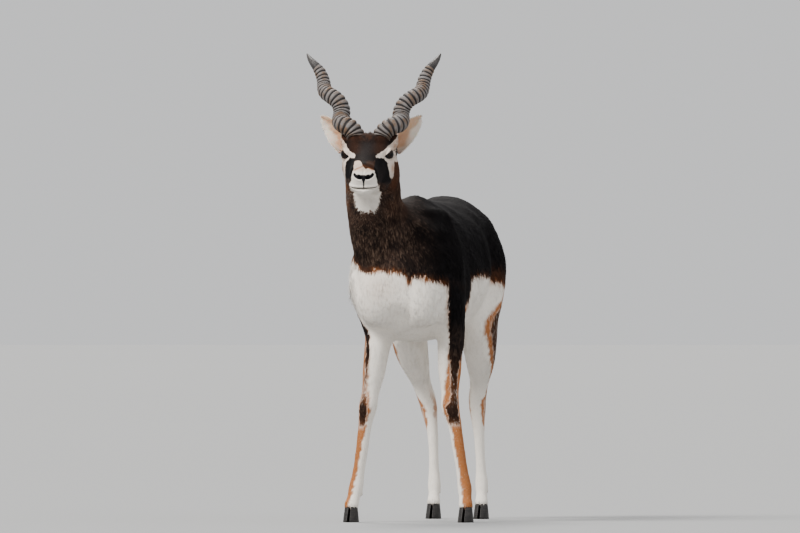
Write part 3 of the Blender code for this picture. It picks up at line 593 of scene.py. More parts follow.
def refineHead(mesh):
    bm = bmesh.new()
    bm.from_mesh(mesh)
    for finer in (False, True):
        local = inHead(np.array([v.co for v in bm.verts]))
        inside = (local[:, 1] < 0.060) & (np.linalg.norm(local, axis=1) < 0.19)
        if finer:
            inside &= (toEye(local) < 0.030) | ((local[:, 1] < -0.095) & (local[:, 2] > -0.056))
        edges = [e for e in bm.edges if inside[e.verts[0].index] and inside[e.verts[1].index]]
        bmesh.ops.subdivide_edges(bm, edges=edges, cuts=1, use_grid_fill=True)
        bm.verts.index_update()
    bmesh.ops.triangulate(bm, faces=[f for f in bm.faces if len(f.verts) > 4])
    bm.to_mesh(mesh)
    bm.free()
    mesh.update()


def coatDepth(points):  # how far the hide lies under the top of the hair
    local = inHead(points)
    out = np.linalg.norm(local - (0, -0.02, -0.02), axis=1)
    depth = 0.0010 + 0.0030 * ramp(out, 0.12, 0.20)
    onLeg = 1 - ramp(points[:, 2], 0.34, 0.50)
    depth = depth * (1 - onLeg) + onLeg * (-0.0006 + 0.0018 * ramp(points[:, 2], 0.05, 0.36))
    bareNose = ramp(-local[:, 1], 0.105, 0.118) * (out < 0.14)
    lids = 1 - ramp(toEye(local), 0.020, 0.030)
    return depth * (1 - bareNose) * (1 - lids)


def foldBody(mesh):
    points, normals = coordinates(mesh), normalsOf(mesh)
    shift = np.zeros(len(points))
    for mirrored, line, width, depth in flesh["folds"]:
        for sign in (1, -1) if mirrored else (1,):
            line3 = np.array(line) * (sign, 1, 1)
            near = np.full(len(points), 1e9)
            for low, high in zip(line3, line3[1:]):
                t = np.clip((points - low) @ (high - low) / ((high - low) @ (high - low)), 0, 1)
                near = np.minimum(near, np.linalg.norm(points - low - t[:, None] * (high - low), axis=1))
            shift -= depth * hump(near, width)
    shift += 0.0012 * wander(points, 0.09, 3) * ramp(points[:, 2], 0.44, 0.56)
    setCoordinates(mesh, points + normals * (shift - coatDepth(points))[:, None])


face = {
    "lidGap": (0.0164, 0.0145, 0.0084),  # half length of the opening behind, in front, and half its height
    "lidTilt": 0.12,  # how much the opening rises towards the back
    "lidRoundness": (1.7, 1.9),  # along the opening and up it, where 2 is an ellipse
    "lidThickness": 0.0018,
    "mouthDepth": 0.0036,
    "mouthUp": -0.0422,  # height of the line of the lips in front
    "nostrilDepth": 0.0095,
    "nostril": ((0.0080, -0.1425, -0.0148), (0.0204, -0.1325, -0.0090)),  # inner low end, outer high end
    "gland": (0.040, -0.036, -0.006),  # slit before the eye
    "cheek": (0.046, -0.062, -0.036),  # hollow under the cheekbone
}


def lookAxes():  # out of the left eye, along its opening towards the back, and up across it
    look = unit(np.array(eye["look"]))
    along = unit(np.cross((0, 0, 1), look))
    return look, along, np.cross(look, along)


def lidOpening(local):
    # 1 on the lids' edge and less over the eyeball, then how far up, along and out of the eye it lies,
    # and the way to it from the eye's centre
    q = local * halfSigns(local) - np.array(eyeCentre(1))
    look, along, rise = lookAxes()
    span, high = q @ along, q @ rise - face["lidTilt"] * (q @ along)
    (back, front, half), (alongPower, upPower) = face["lidGap"], face["lidRoundness"]
    spanShare = np.where(span > 0, span / back, span / front)
    opening = np.sqrt(np.abs(spanShare) ** alongPower + np.abs(high / half) ** upPower)
    return opening, high, span, q @ look, q


def nostrilDistance(p, deep=1.0):  # how far a point of the face's own half lies from the nostril's slit
    low, high = (np.array(end) for end in face["nostril"])
    t = np.clip((p - low) @ (high - low) / ((high - low) @ (high - low)), 0, 1)
    bow = 0.0016 * np.sin(math.pi * t)[:, None] * np.array((0, 0, -1.0))
    return np.linalg.norm((p - low - t[:, None] * (high - low) - bow) / (1, deep, 1), axis=1)


def glandDistance(p):
    return np.linalg.norm((p - face["gland"]) / (1, 2.0, 0.6), axis=1)


def mouthLine(p):  # height of the line of the lips, which falls towards the corners
    return face["mouthUp"] - 0.10 * np.clip(p[:, 1] + 0.125, 0, 0.06)


def carveLids(p):
    opening, high, span, out, q = lidOpening(p)
    reach = np.linalg.norm(q, axis=1)
    near = (out > 0) & (reach < 0.034)
    lid = eye["radius"] + face["lidThickness"] + 0.0007 * hump(opening - 1.12, 0.10)
    lid += np.where(high > 0, 0.0010 * hump(opening - 1.30, 0.12) - 0.0016 * hump(opening - 1.75, 0.10), 0)
    lid -= np.where(high < 0, 0.0008 * hump(opening - 1.55, 0.10), 0)
    target = np.where(opening < 1, eye["radius"] - 0.0045, lid)
    share = np.where(near, 1 - ramp(opening, 1.45, 2.3), 0)
    q = q * (1 + share * (target / np.maximum(reach, 1e-6) - 1))[:, None]
    return np.array(eyeCentre(1)) + q


def carveFace(mesh):
    points = inHead(coordinates(mesh))
    mirror = halfSigns(points)
    p = carveLids(points * mirror)
    front = p[:, 1] < -0.06
    mouthUp = mouthLine(p)
    mouth = face["mouthDepth"] * hump(p[:, 2] - mouthUp, 0.0020) * ramp(-p[:, 1], 0.066, 0.085)
    lips = -0.0010 * (hump(p[:, 2] - mouthUp - 0.0045, 0.0030) + hump(p[:, 2] - mouthUp + 0.0050, 0.0035))
    lips *= ramp(-p[:, 1], 0.075, 0.100)
    philtrum = 0.0022 * hump(p[:, 0], 0.0018) * ramp(-p[:, 1], 0.125, 0.135) * (p[:, 2] > -0.045)
    inward = unit(np.stack([-p[:, 0] * 0.9, 0.10 + 0 * p[:, 1], 0 * p[:, 2]], axis=1))
    p = p + inward * np.where(front, mouth + lips, 0)[:, None]
    p[:, 1] += np.where(front, mouth + lips + philtrum, 0)
    slit = nostrilDistance(p, 1.6)
    sink = face["nostrilDepth"] * hump(slit, 0.0031) - 0.0012 * hump(slit - 0.0056, 0.0024)
    p += (sink * (p[:, 1] < -0.112))[:, None] * np.array((-0.30, 0.92, 0.05))
    p[:, 0] -= 0.0034 * hump(glandDistance(p), 0.0062)
    cheek = np.linalg.norm((p - face["cheek"]) / (1, 1.6, 1), axis=1)
    p[:, 0] -= 0.0022 * hump(cheek, 0.018)
    setCoordinates(mesh, fromHead(p * mirror))


def makeSkin():
    source = newObject("lengths", fleshLengths())
    join = source.modifiers.new("join", "REMESH")
    join.mode = "VOXEL"
    join.voxel_size = flesh["voxel"]
    mesh = evaluated(source)
    bpy.data.objects.remove(source)
    relax(mesh, 46, slackness)
    refineHead(mesh)
    relax(mesh, 4, lambda points: np.full(len(points), 0.5))
    foldBody(mesh)
    carveFace(mesh)
    relax(mesh, 2, lambda points: 0.35 * ramp(toEye(inHead(points)), 0.002, 0.004))
    bm = bmesh.new()
    bm.from_mesh(mesh)
    count = len(bm.verts)
    rows = [(flesh["tailSide"], y, z, half, deep, deep) for y, z, half, deep in flesh["tail"]]
    loft(bm, rows, around=20, ends=(0.006, 0.004))
    bmesh.ops.recalc_face_normals(bm, faces=bm.faces)
    bm.to_mesh(mesh)
    bm.free()
    skin = bpy.data.objects.new("skin", mesh)
    bpy.context.scene.collection.objects.link(skin)
    mesh.shade_smooth()
    return skin, count


skin, bodyCount = makeSkin()  # the tail's points come after the body's
print("skin made,", sum(len(p.vertices) - 2 for p in skin.data.polygons), "triangles")

# markings, the same for hide and hair
markings = {
    # lower edge of the dark coat: place along the body, height
    "coatEdge": [
        (-0.34, 0.604), (-0.26, 0.601), (-0.20, 0.590), (-0.12, 0.572), (-0.06, 0.590), (0.0, 0.594),
        (0.10, 0.590), (0.20, 0.582), (0.30, 0.571), (0.38, 0.566), (0.47, 0.575),
    ],
    # stripe down each leg, by height: first and last angle from straight out towards the front, in degrees
    "foreStripe": {
        "left": [
            (0.04, -75, 100), (0.10, -75, 106), (0.171, -75, 109), (0.195, -75, 111), (0.226, -75, 119),
            (0.238, -75, 130), (0.255, -75, 136), (0.274, -75, 128), (0.291, -80, 123),
            (0.315, -80, 113), (0.34, -80, 102), (0.364, -80, 95), (0.388, -80, 87), (0.412, -85, 79),
            (0.508, -88, 70), (0.573, -90, 60), (0.62, -90, 54),
        ],
        "right": [
            (0.04, -70, 80), (0.10, -70, 86), (0.171, -70, 93), (0.195, -70, 102), (0.207, -70, 110),
            (0.226, -70, 116), (0.243, -70, 118), (0.267, -70, 127), (0.285, -70, 108), (0.315, -70, 86),
            (0.34, -70, 78), (0.364, -70, 74), (0.412, -70, 70), (0.44, -70, 68), (0.46, -75, 58),
            (0.50, -80, 24), (0.535, -85, -16), (0.62, -90, -32),
        ],
    },
    # black core of that stripe, and how black it is
    "foreCore": {
        "left": [
            (0.10, 0, 30, 0.0), (0.226, 30, 100, 0.0), (0.238, 24, 124, 0.6), (0.255, 24, 108, 0.85),
            (0.274, 20, 106, 0.85), (0.291, 22, 84, 0.7), (0.315, 25, 72, 0.65), (0.34, 24, 71, 0.7),
            (0.364, 25, 75, 0.8), (0.388, 18, 74, 0.85), (0.412, -10, 76, 0.95), (0.424, -60, 77, 1.0),
            (0.62, -88, 52, 1.0),
        ],
        "right": [
            (0.10, 30, 50, 0.0), (0.220, 40, 90, 0.0), (0.232, 36, 104, 0.6), (0.255, 34, 106, 0.85),
            (0.28, 36, 98, 0.85), (0.295, 40, 86, 0.6), (0.327, 44, 74, 0.5), (0.364, 46, 72, 0.6),
            (0.385, 46, 70, 0.8), (0.424, 46, 69, 1.0), (0.455, 20, 60, 1.0), (0.50, -60, 20, 1.0),
            (0.535, -80, -20, 1.0), (0.62, -88, -36, 1.0),
        ],
    },
    "hindStripe": {
        "left": [
            (0.06, -120, -60), (0.20, -120, -30), (0.225, -120, 20), (0.240, -120, 40),
            (0.255, -120, 48), (0.290, -120, 42), (0.305, -120, 12), (0.33, -120, 4), (0.364, -120, 27),
            (0.388, -120, 44), (0.412, -120, 47), (0.436, -120, 49), (0.460, -115, 54),
            (0.484, -115, 44), (0.508, -112, 18), (0.53, -110, -5), (0.55, -110, -30), (0.64, -110, -50),
        ],
        "right": [
            (0.06, -120, -60), (0.19, -120, -20), (0.219, -120, 48), (0.231, -120, 69),
            (0.267, -120, 73), (0.284, -120, 60), (0.305, -120, 24), (0.34, -120, 20), (0.364, -120, 40),
            (0.388, -120, 54), (0.412, -115, 60), (0.43, -115, 50), (0.47, -115, 20), (0.53, -110, -16),
            (0.57, -110, -40), (0.64, -110, -50),
        ],
    },
    # over the face, as height b and distance from the middle: edges of the black patch before the eye,
    # and half widths of the dark blaze, the pale muzzle, the pale chin and the black of the nose
    "patchInner": [
        (-0.070, 0.041), (-0.056, 0.034), (-0.045, 0.029), (-0.030, 0.025), (-0.010, 0.0240), (0.002, 0.0255),
    ],
    "patchOuter": [
        (-0.070, 0.050), (-0.056, 0.053), (-0.045, 0.0530), (-0.025, 0.0510), (-0.010, 0.048),
        (-0.002, 0.042),
    ],
    "blaze": [(-0.028, 0.0), (-0.020, 0.007), (-0.010, 0.014), (0.0, 0.021), (0.010, 0.026)],
    "muzzle": [(-0.080, 0.0335), (-0.061, 0.0325), (-0.037, 0.0280), (-0.030, 0.024)],
    "chin": [
        (-0.1320, 0.008), (-0.1260, 0.0195), (-0.118, 0.0250), (-0.109, 0.0280), (-0.095, 0.0305),
        (-0.085, 0.0325), (-0.070, 0.0350),
    ],
    "noseBlack": [
        (-0.0745, 0.0), (-0.0715, 0.0012), (-0.0644, 0.0017), (-0.0570, 0.0025), (-0.0494, 0.0055),
        (-0.0449, 0.0115), (-0.0405, 0.0150),
    ],
    # upper edge of the cream brow: distance from the middle, height
    "browTop": [
        (0.0250, 0.004), (0.0285, 0.0090), (0.034, 0.0125), (0.041, 0.0175), (0.047, 0.0240), (0.052, 0.0315),
        (0.060, 0.042), (0.070, 0.052),
    ],
}


def legPlace(points, leg, side):
    # angle from straight out towards the front in degrees, girths from the leg's middle, and one girth
    rows = np.array([row[:6] for row in legRows(leg, side)])[::-1]
    z = points[:, 2]
    centre = [np.interp(z, rows[:, 2], rows[:, k]) for k in (0, 1)]
    girth = np.interp(z, rows[:, 2], rows[:, 3])
    depth = np.interp(z, rows[:, 2], rows[:, 4:6].mean(1))
    out = (points[:, 0] - centre[0]) * sides[side] / girth
    ahead = (centre[1] - points[:, 1]) / depth
    return np.degrees(np.arctan2(ahead, out)), np.hypot(out, ahead), girth


def between(angle, low, high, soft=7.0):
    return ramp(angle - low, -soft, soft) * ramp(high - angle, -soft, soft)


def readTable(table, heights):
    table = np.array(table, float)
    return [np.interp(heights, table[:, 0], table[:, k]) for k in range(1, table.shape[1])]


def edgeAt(name, place):  # one of the face's tables, read at a place
    return np.interp(place, *zip(*markings[name]))


def faceHeight(local):  # how high a place is as seen from in front, from the point between the eyes
    return local[:, 1] * 0.242 + local[:, 2] * 0.970


def paleThroat(local, normals):  # white from the lower lip down the throat
    b = faceHeight(local)
    ragged = 0.0016 * wander(local, 0.012, 21) + 0.0022 * wander(local, 0.006, 22)
    beside = np.abs(local[:, 0] + 0.003 + 0.001 * ramp(-b, 0.085, 0.115))
    pale = ramp(edgeAt("chin", b + ragged) - beside + 0.5 * ragged, -0.0022, 0.0022)
    pale = pale * ramp(b + ragged, -0.1305, -0.1275)
    facing = np.maximum(-normals[:, 1], -0.8 * normals[:, 2])  # forwards or down
    return pale * ramp(facing, 0.10, 0.32) * (b < -0.062)


def bareSkin(local):  # nostrils and the black between them, lips' line, lids' edge, eye's corner and gland
    a, b, ahead = np.abs(local[:, 0]), faceHeight(local), -local[:, 1]
    p = local * halfSigns(local)
    soft = 0.0008
    padEdge = 0.0414 - 0.0016 * ramp(a, 0.004, 0.013)
    middle = ramp(edgeAt("noseBlack", b) - a, -soft, soft) * ramp(-b - padEdge, -soft, soft)
    nose = np.maximum(ramp(0.0043 - nostrilDistance(p, 5.0), -soft, soft), middle) * (ahead > 0.11)
    lips = hump(local[:, 2] - mouthLine(local), 0.0011) * ramp(ahead, 0.098, 0.116) * 0.95 * (ahead > 0.08)
    opening, high, span, out, q = lidOpening(local)
    eyeFar = np.linalg.norm(q, axis=1)
    lids = ramp(1.20 - opening, 0.0, 0.12) * (out > 0) * (eyeFar < 0.03)
    corner = hump(span + 0.0185, 0.0045) * hump(high, 0.0018) * (out > 0) * (eyeFar < 0.034)
    return np.maximum.reduce([nose, lips, lids, corner * 0.9, hump(glandDistance(p), 0.0050)])


def faceMarks(local):
    x = local[:, 0]
    a, b, ahead = np.abs(x), faceHeight(local), -local[:, 1]
    jitter = 0.0009 * wander(local, 0.014, 5) + 0.0004 * wander(local, 0.005, 6)
    aj, bj = a + jitter, b + 0.0008 * wander(local, 0.012, 7)
    eyeFar = np.linalg.norm(lidOpening(local)[-1], axis=1)
    soft = 0.0023
    # black patch from the eye's front corner down the cheek
    inner, outer = edgeAt("patchInner", b), edgeAt("patchOuter", b)
    low = np.where(x > 0, -0.060, -0.050)
    patch = ramp(aj - inner, -soft, soft) * ramp(outer - aj, -soft, soft) * ramp(bj - low, -0.006, 0.010)
    patch *= ramp(-bj, -0.002, 0.003) * ramp(ahead, -0.020, -0.010)
    # cream brow that widens towards the ear, ring round the eye, and strip under it
    underBrow = edgeAt("browTop", aj) - bj
    brow = ramp(aj, 0.0238, 0.0268) * ramp(bj, -0.0105, -0.0070) * ramp(underBrow, -soft, soft)
    brow *= ramp(ahead, -0.085, -0.060)
    ring = ramp(0.0275 - eyeFar + jitter, -0.003, 0.003) * ramp(aj, 0.040, 0.044)
    ring *= ramp(underBrow, -0.002, 0.001)
    inside = outer + 0.9 * np.clip(-0.045 - b, 0, 0.02)
    under = ramp(aj - inside, -soft, soft) * ramp(-bj, 0.0, 0.004) * ramp(bj, -0.064, -0.046)
    under *= ramp(ahead, -0.030, -0.012)
    cream = np.maximum.reduce([brow, ring, under]) * (1 - patch)
    # dark blaze between the eyes, and the saddle over the nose: cream on the right, dark brown on the left;
    # the brown is the saddle's own colour, and the difference between the sides is partly painted light on
    # the right and painted shade on the left
    blaze = ramp(edgeAt("blaze", bj) - np.abs(x - 0.006), -soft, soft)
    saddle = ramp(-bj, 0.005, 0.010) * ramp(inner - aj, -soft, soft) * ramp(ahead, 0.030, 0.050)
    saddle = saddle * (1 - blaze) * ramp(bj, -0.056, -0.046)
    arch = 0.42 * a  # the saddle's lower edge falls away to both sides
    # painted shade: the saddle's left side is made browner, as the shaded side of the nose
    browner = ramp(x + 2 * jitter, 0.001, 0.009) * ramp(b + 0.0186 + arch, -0.003, 0.002)
    browner *= ramp(-bj, 0.004, 0.012)
    chevron = hump(b + 0.0196 + arch, 0.0042) * ramp(0.026 - aj, 0, 0.005)
    saddle = saddle * (1 - 0.85 * browner) * (1 - 0.45 * chevron)
    # white muzzle, a little greyer over the nose pad; this grey is partly the pad's own skin and partly a
    # painted highlight of the wet pad
    muzzle = ramp(-bj, 0.034, 0.040) * ramp(ahead, 0.055, 0.075)
    muzzle *= ramp(edgeAt("muzzle", b) - jitter - np.abs(x + 0.003 * ramp(-b, 0.050, 0.070)), -soft, soft)
    pad = ramp(-b, 0.031, 0.036) * ramp(b, -0.050, -0.045) * ramp(0.0225 - a, 0, 0.005)
    pad *= ramp(ahead, 0.10, 0.12)
    white = np.maximum.reduce([cream, saddle, muzzle]) * (1 - 0.20 * pad)
    # red-brown above the forehead, darker brown over the brows, orange-brown temple and cheeks
    crown = ramp(bj, 0.034, 0.046) * ramp(ahead, -0.090, -0.060) * (0.6 + 0.4 * wander(local, 0.012, 31))
    sideBrown = hump(aj - 0.030, 0.015) * ramp(bj, 0.004, 0.014)
    strip = hump(a - 0.0450, 0.0050) * ramp(-b, 0.060, 0.070) * ramp(ahead, 0.02, 0.05)
    behind = ramp(-ahead, 0.012, 0.030) * ramp(-b, -0.004, 0.006) * ramp(b, -0.095, -0.060)
    temple = ramp(a, 0.050, 0.062) * ramp(b, 0.006, 0.026)
    streak = 0.5 + 0.5 * wander(local * (1, 1, 0.35), 0.0045, 32)
    fleck = 0.45 * hump(a - 0.0600, 0.0030) * hump(b + 0.024, 0.010)
    tint = cream * (0.26 + 0.55 * temple * streak + fleck + 0.3 * ramp(-b, 0.045, 0.06))
    rust = np.maximum.reduce([
        0.50 * crown * (1 - white), 0.30 * sideBrown * (1 - white), 0.80 * behind * (1 - white),
        0.74 * chevron, 0.35 * browner * (inner > a), 0.50 * saddle * ramp(bj, -0.038, -0.026),
        0.60 * strip, tint, 0.05 * muzzle,
    ])
    cheek = ramp(aj, 0.026, 0.040) * ramp(-b, 0.030, 0.050) * (1 - patch)
    # painted light: the right cheek, on the lit side of the face, is painted paler
    litCheek = 0.28 * cheek * ramp(-x, -0.01, 0.02)  # the right cheek is paler
    return white, rust, patch, cheek, litCheek


# planes between regions: a place on each and the way past it
planes = {
    "head": ((-0.05, -0.302, 0.850), (-0.10, -0.95, 0.30)),
    "body": ((0, -0.225, 0.680), (0, 0.72, -0.69)),
    "neck": ((0, -0.245, 0.700), (0, -0.72, 0.69)),
    # the neck's brown grizzle gives way to black past this tilted plane, sooner on the left side: partly
    # painted shade
    "blackNeck": ((-0.035, -0.250, 0.690), (0.52, 0.72, -0.46)),
}


def past(points, name):  # how far points lie past one of the planes
    place, way = planes[name]
    return (points - place) @ np.array(way)


def legStripe(points, rough, leg, side):  # brown stripe down a leg, and its black core
    x, y, z = points.T
    angle, girths, girth = legPlace(points, leg, side)
    angle = angle + np.degrees(rough / np.maximum(girth, 0.02)) * 0.6
    mine = (x * sides[side] > -0.02) * ramp(1.9 - girths, 0, 0.3)
    close = mine * (y < -0.02 if leg == "fore" else y > 0.06)
    close = close * ramp((0.66 if leg == "fore" else 0.64) - z, 0, 0.04)
    first, last = readTable(markings[leg + "Stripe"][side], z)
    stripe = between(angle, first, last) * close
    if leg == "fore":
        coreFirst, coreLast, strength = readTable(markings["foreCore"][side], z)
        return stripe, between(angle, coreFirst, coreLast) * strength * close
    core = between(angle, first + 16, last - 22) * close * (0.45 + 0.25 * ramp(z, 0.34, 0.42))
    hockInside = between(angle, 138, 190) * close * hump(z - 0.272, 0.032)
    stripe = np.maximum(stripe * (0.15 + 0.85 * ramp(z, 0.19, 0.23)), hockInside * 0.9)
    return stripe, core * ramp(z, 0.22, 0.26)


def bodyMarks(points, normals, onTail):  # how dark and how rust-coloured body, legs and tail are
    x, y, z = points.T
    rough = 0.0030 * wander(points, 0.032, 1) + 0.0022 * wander(points, 0.009, 2)
    edge = np.interp(y, *zip(*markings["coatEdge"]))
    front = 1 - ramp(y, -0.20, -0.12)
    edge = edge - 0.22 * np.clip(x, 0, 0.12) * front - 0.018 * hump(x - 0.032, 0.008) * front
    edge += 0.045 * ramp(-x, 0.085, 0.130) * (1 - ramp(y, -0.17, -0.08))
    inside = z - edge + rough
    dark = ramp(inside, -0.0045, 0.0045)
    haunch = ramp(y, 0.10, 0.20)
    rust = 0.80 * hump(inside - 0.002, 0.0070) + 0.55 * haunch * hump(inside - 0.014, 0.018)
    warm = np.linalg.norm((points - (-0.045, -0.30, 0.565)) / (0.045, 0.12, 0.035), axis=1)
    rust = np.maximum(rust, 0.16 * hump(warm, 1.0) * ramp(-inside, 0, 0.01))
    below = 1 - ramp(inside, -0.004, 0.012)
    for side in sides:
        for leg in ("fore", "hind"):
            stripe, core = legStripe(points, rough, leg, side)
            rust = np.maximum(rust * (1 - 0.9 * core), stripe * (1 - core) * below)
            dark = np.maximum(dark, core)
    tailBack = ramp(normals[:, 1], -0.25, 0.15)
    dark = np.where(onTail, np.maximum(tailBack, ramp(z, 0.70, 0.72)), dark)
    rump = hump(x + 0.022, 0.040) * ramp(y, 0.36, 0.40) * ramp(0.70 - z, 0, 0.02) * (1 - onTail)
    return dark * (1 - rump), np.where(onTail, 0.2, rust * (1 - rump))


def coatMarks(points, normals, onTail):
    x, y, z = points.T
    local = inHead(points)
    dark, rust = bodyMarks(points, normals, onTail)
    onHead = ramp(past(points, "head"), -0.004, 0.004) * ramp(z, 0.765, 0.780)
    white, faceRust, patch, cheek, litCheek = faceMarks(local)
    bare = bareSkin(local)
    chin = paleThroat(local, normals) * (y < -0.29)
    white = np.maximum(white, chin * (1 - np.minimum(bare, 1)))
    # the right cheek is made less dark here as painted light
    dark = dark * (1 - onHead) * (1 - chin) + (1 - white) * (1 - litCheek) * onHead
    rust = np.maximum(rust * (1 - onHead) + faceRust * onHead, 0.55 * chin * (1 - chin) * 4)
    rust = rust * (1 - 0.9 * chin)
    # red-brown nape and neck edge: the left edge of the neck is dark red-brown; the right edge is made tan
    # and less dark as painted rim light
    napeward = normals[:, 1] + 0.35 * np.abs(normals[:, 0])
    nape = ramp(z, 0.66, 0.74) * ramp(0.88 - z, 0, 0.03) * ramp(napeward, 0.15, 0.7) * (y < -0.12)
    neckSide = ramp(np.abs(normals[:, 0]), 0.60, 0.92) * ramp(z, 0.70, 0.78) * (y < -0.18) * (1 - onHead)
    # painted rim light on the neck's right edge
    rimLitSide = ramp(-x, 0.02, 0.06)
    rust = np.maximum.reduce([rust, 0.35 * nape * (1 - 0.6 * onHead), neckSide * (0.30 + 0.25 * rimLitSide)])
    dark = dark * (1 - 0.35 * neckSide * rimLitSide)
    # the neck's brown grizzle is its own colour; that it ends sooner on the left side is painted shade
    neckward = 1 - ramp(past(points, "blackNeck"), -0.01, 0.085)
    grizzle = neckward * (1 - onHead) + onHead * (0.9 * cheek + 0.16)
    grizzle = np.clip(grizzle - patch, 0, 1) * (0.75 + 0.25 * wander(points, 0.05, 8))
    grizzle = np.clip(grizzle + 0.35 * ramp(0.50 - z, 0, 0.06), 0, 1)  # the legs' stripes are brown
    return {"dark": dark, "rust": np.clip(rust, 0, 1), "grizzle": grizzle, "bare": bare * onHead}


def lieOfCoat(points, normals):
    x, y, z = points.T
    local = inHead(points)
    ones = np.ones(len(points))
    spine = ramp(normals[:, 2], 0.2, 0.9)
    trunk = np.stack([0 * x, 0.45 + 0.55 * spine, -0.85 * (1 - spine)], axis=1)
    trunk += (ramp(y, 0.25, 0.38) * (1 - spine))[:, None] * np.array((0, -0.35, -0.5))
    belly = ramp(-normals[:, 2], 0.3, 0.8)
    trunk = trunk * (1 - belly)[:, None] + belly[:, None] * np.array((0, 1.0, 0.0))
    throat = np.stack([0.10 * np.sign(x + 0.03), 0.22 * ones, -1.0 * ones], axis=1)
    neckward = (1 - ramp(past(points, "body"), -0.03, 0.09))[:, None]
    lie = unit(trunk) * (1 - neckward) + unit(throat) * neckward
    chest = ((1 - ramp(y, -0.24, -0.16)) * (z < 0.62))[:, None]
    lie = lie * (1 - chest) + chest * np.array((0.0, 0.10, -1.0))
    legs = (1 - ramp(z, 0.44, 0.56))[:, None]
    lie = lie * (1 - legs) + legs * np.array((0.0, 0.06, -1.0))
    ahead, aside = -local[:, 1], np.sign(local[:, 0])
    top = ramp(local[:, 2], -0.01, 0.02)
    facing = np.stack([0.35 * aside * ones, 0.75 * ones, 0.55 * top - 0.45 * (1 - top)], axis=1)
    crown = (ramp(ahead, -0.06, 0.02) * ramp(local[:, 2], 0.012, 0.03))[:, None]
    upright = np.stack([0.5 * aside, 0.30 * ones, 0.85 * ones], axis=1)
    facing = facing * (1 - crown) + crown * upright
    muzzle = ramp(ahead, 0.08, 0.12)[:, None]
    down = np.stack([0.25 * aside, 0.35 * ones, -0.55 * ones], axis=1)
    facing = facing * (1 - muzzle) + muzzle * np.where((local[:, 2] < -0.012)[:, None], down, facing)
    turned = unit(facing) @ np.array(headFrame)[:3, :3].T
    onHead = ramp(past(points, "head"), -0.012, 0.012)[:, None]
    lie = unit(lie) * (1 - onHead) + turned * onHead
    swirl = np.stack([wander(points, 0.11, 11), wander(points, 0.11, 12), wander(points, 0.11, 13)], axis=1)
    lie = lie + 0.10 * swirl
    return unit(lie - normals * np.sum(lie * normals, axis=1, keepdims=True))


tractNames = (
    "head_left", "head_right", "neck_front", "neck_back", "shoulder_left", "shoulder_right",
    "barrel_left", "barrel_right", "rump_left", "rump_right", "forelegs", "hindlegs", "tail",
)


def tractOf(points, onTail):  # which coat piece a place belongs to, as its number in tractNames
    x, y, z = points.T
    local = inHead(points)
    shoulder, barrel, rump = (np.where(x > -0.006, k, k + 1) for k in (4, 6, 8))
    tract = np.where(y < -0.10, shoulder, np.where(y < 0.14, barrel, rump))
    tract = np.where((z < 0.405) & (y < 0.05), 10, tract)
    tract = np.where((z < 0.405) & (y > 0.05), 11, tract)
    inFront = points @ np.array((0, 0.86, 0.5)) < 0.118
    tract = np.where(past(points, "neck") > 0, np.where(inFront, 2, 3), tract)
    tract = np.where(past(points, "head") > 0, np.where(local[:, 0] > 0, 0, 1), tract)
    return np.where(onTail, 12, tract)


coat = {
    "tuftsPerSquareMetre": 30000,
    "hairsInTuft": 3,
    "spread": 0.20,  # how much neighbouring tufts differ in their way
    "lengthVaries": 0.30,
    "soft": 0.86,  # how far a hair's shading follows the hide and not its own sides
    "bodyHair": (0.0165, 0.00125, 0.085),  # length, width, and how far it stands off
    "legHair": (0.0070, 0.00080, 0.08),
    "headHair": (0.0036, 0.00047, 0.13),
    "patchSize": 0.003,  # of a tuft's own place in the texture
    "seed": 7,
}


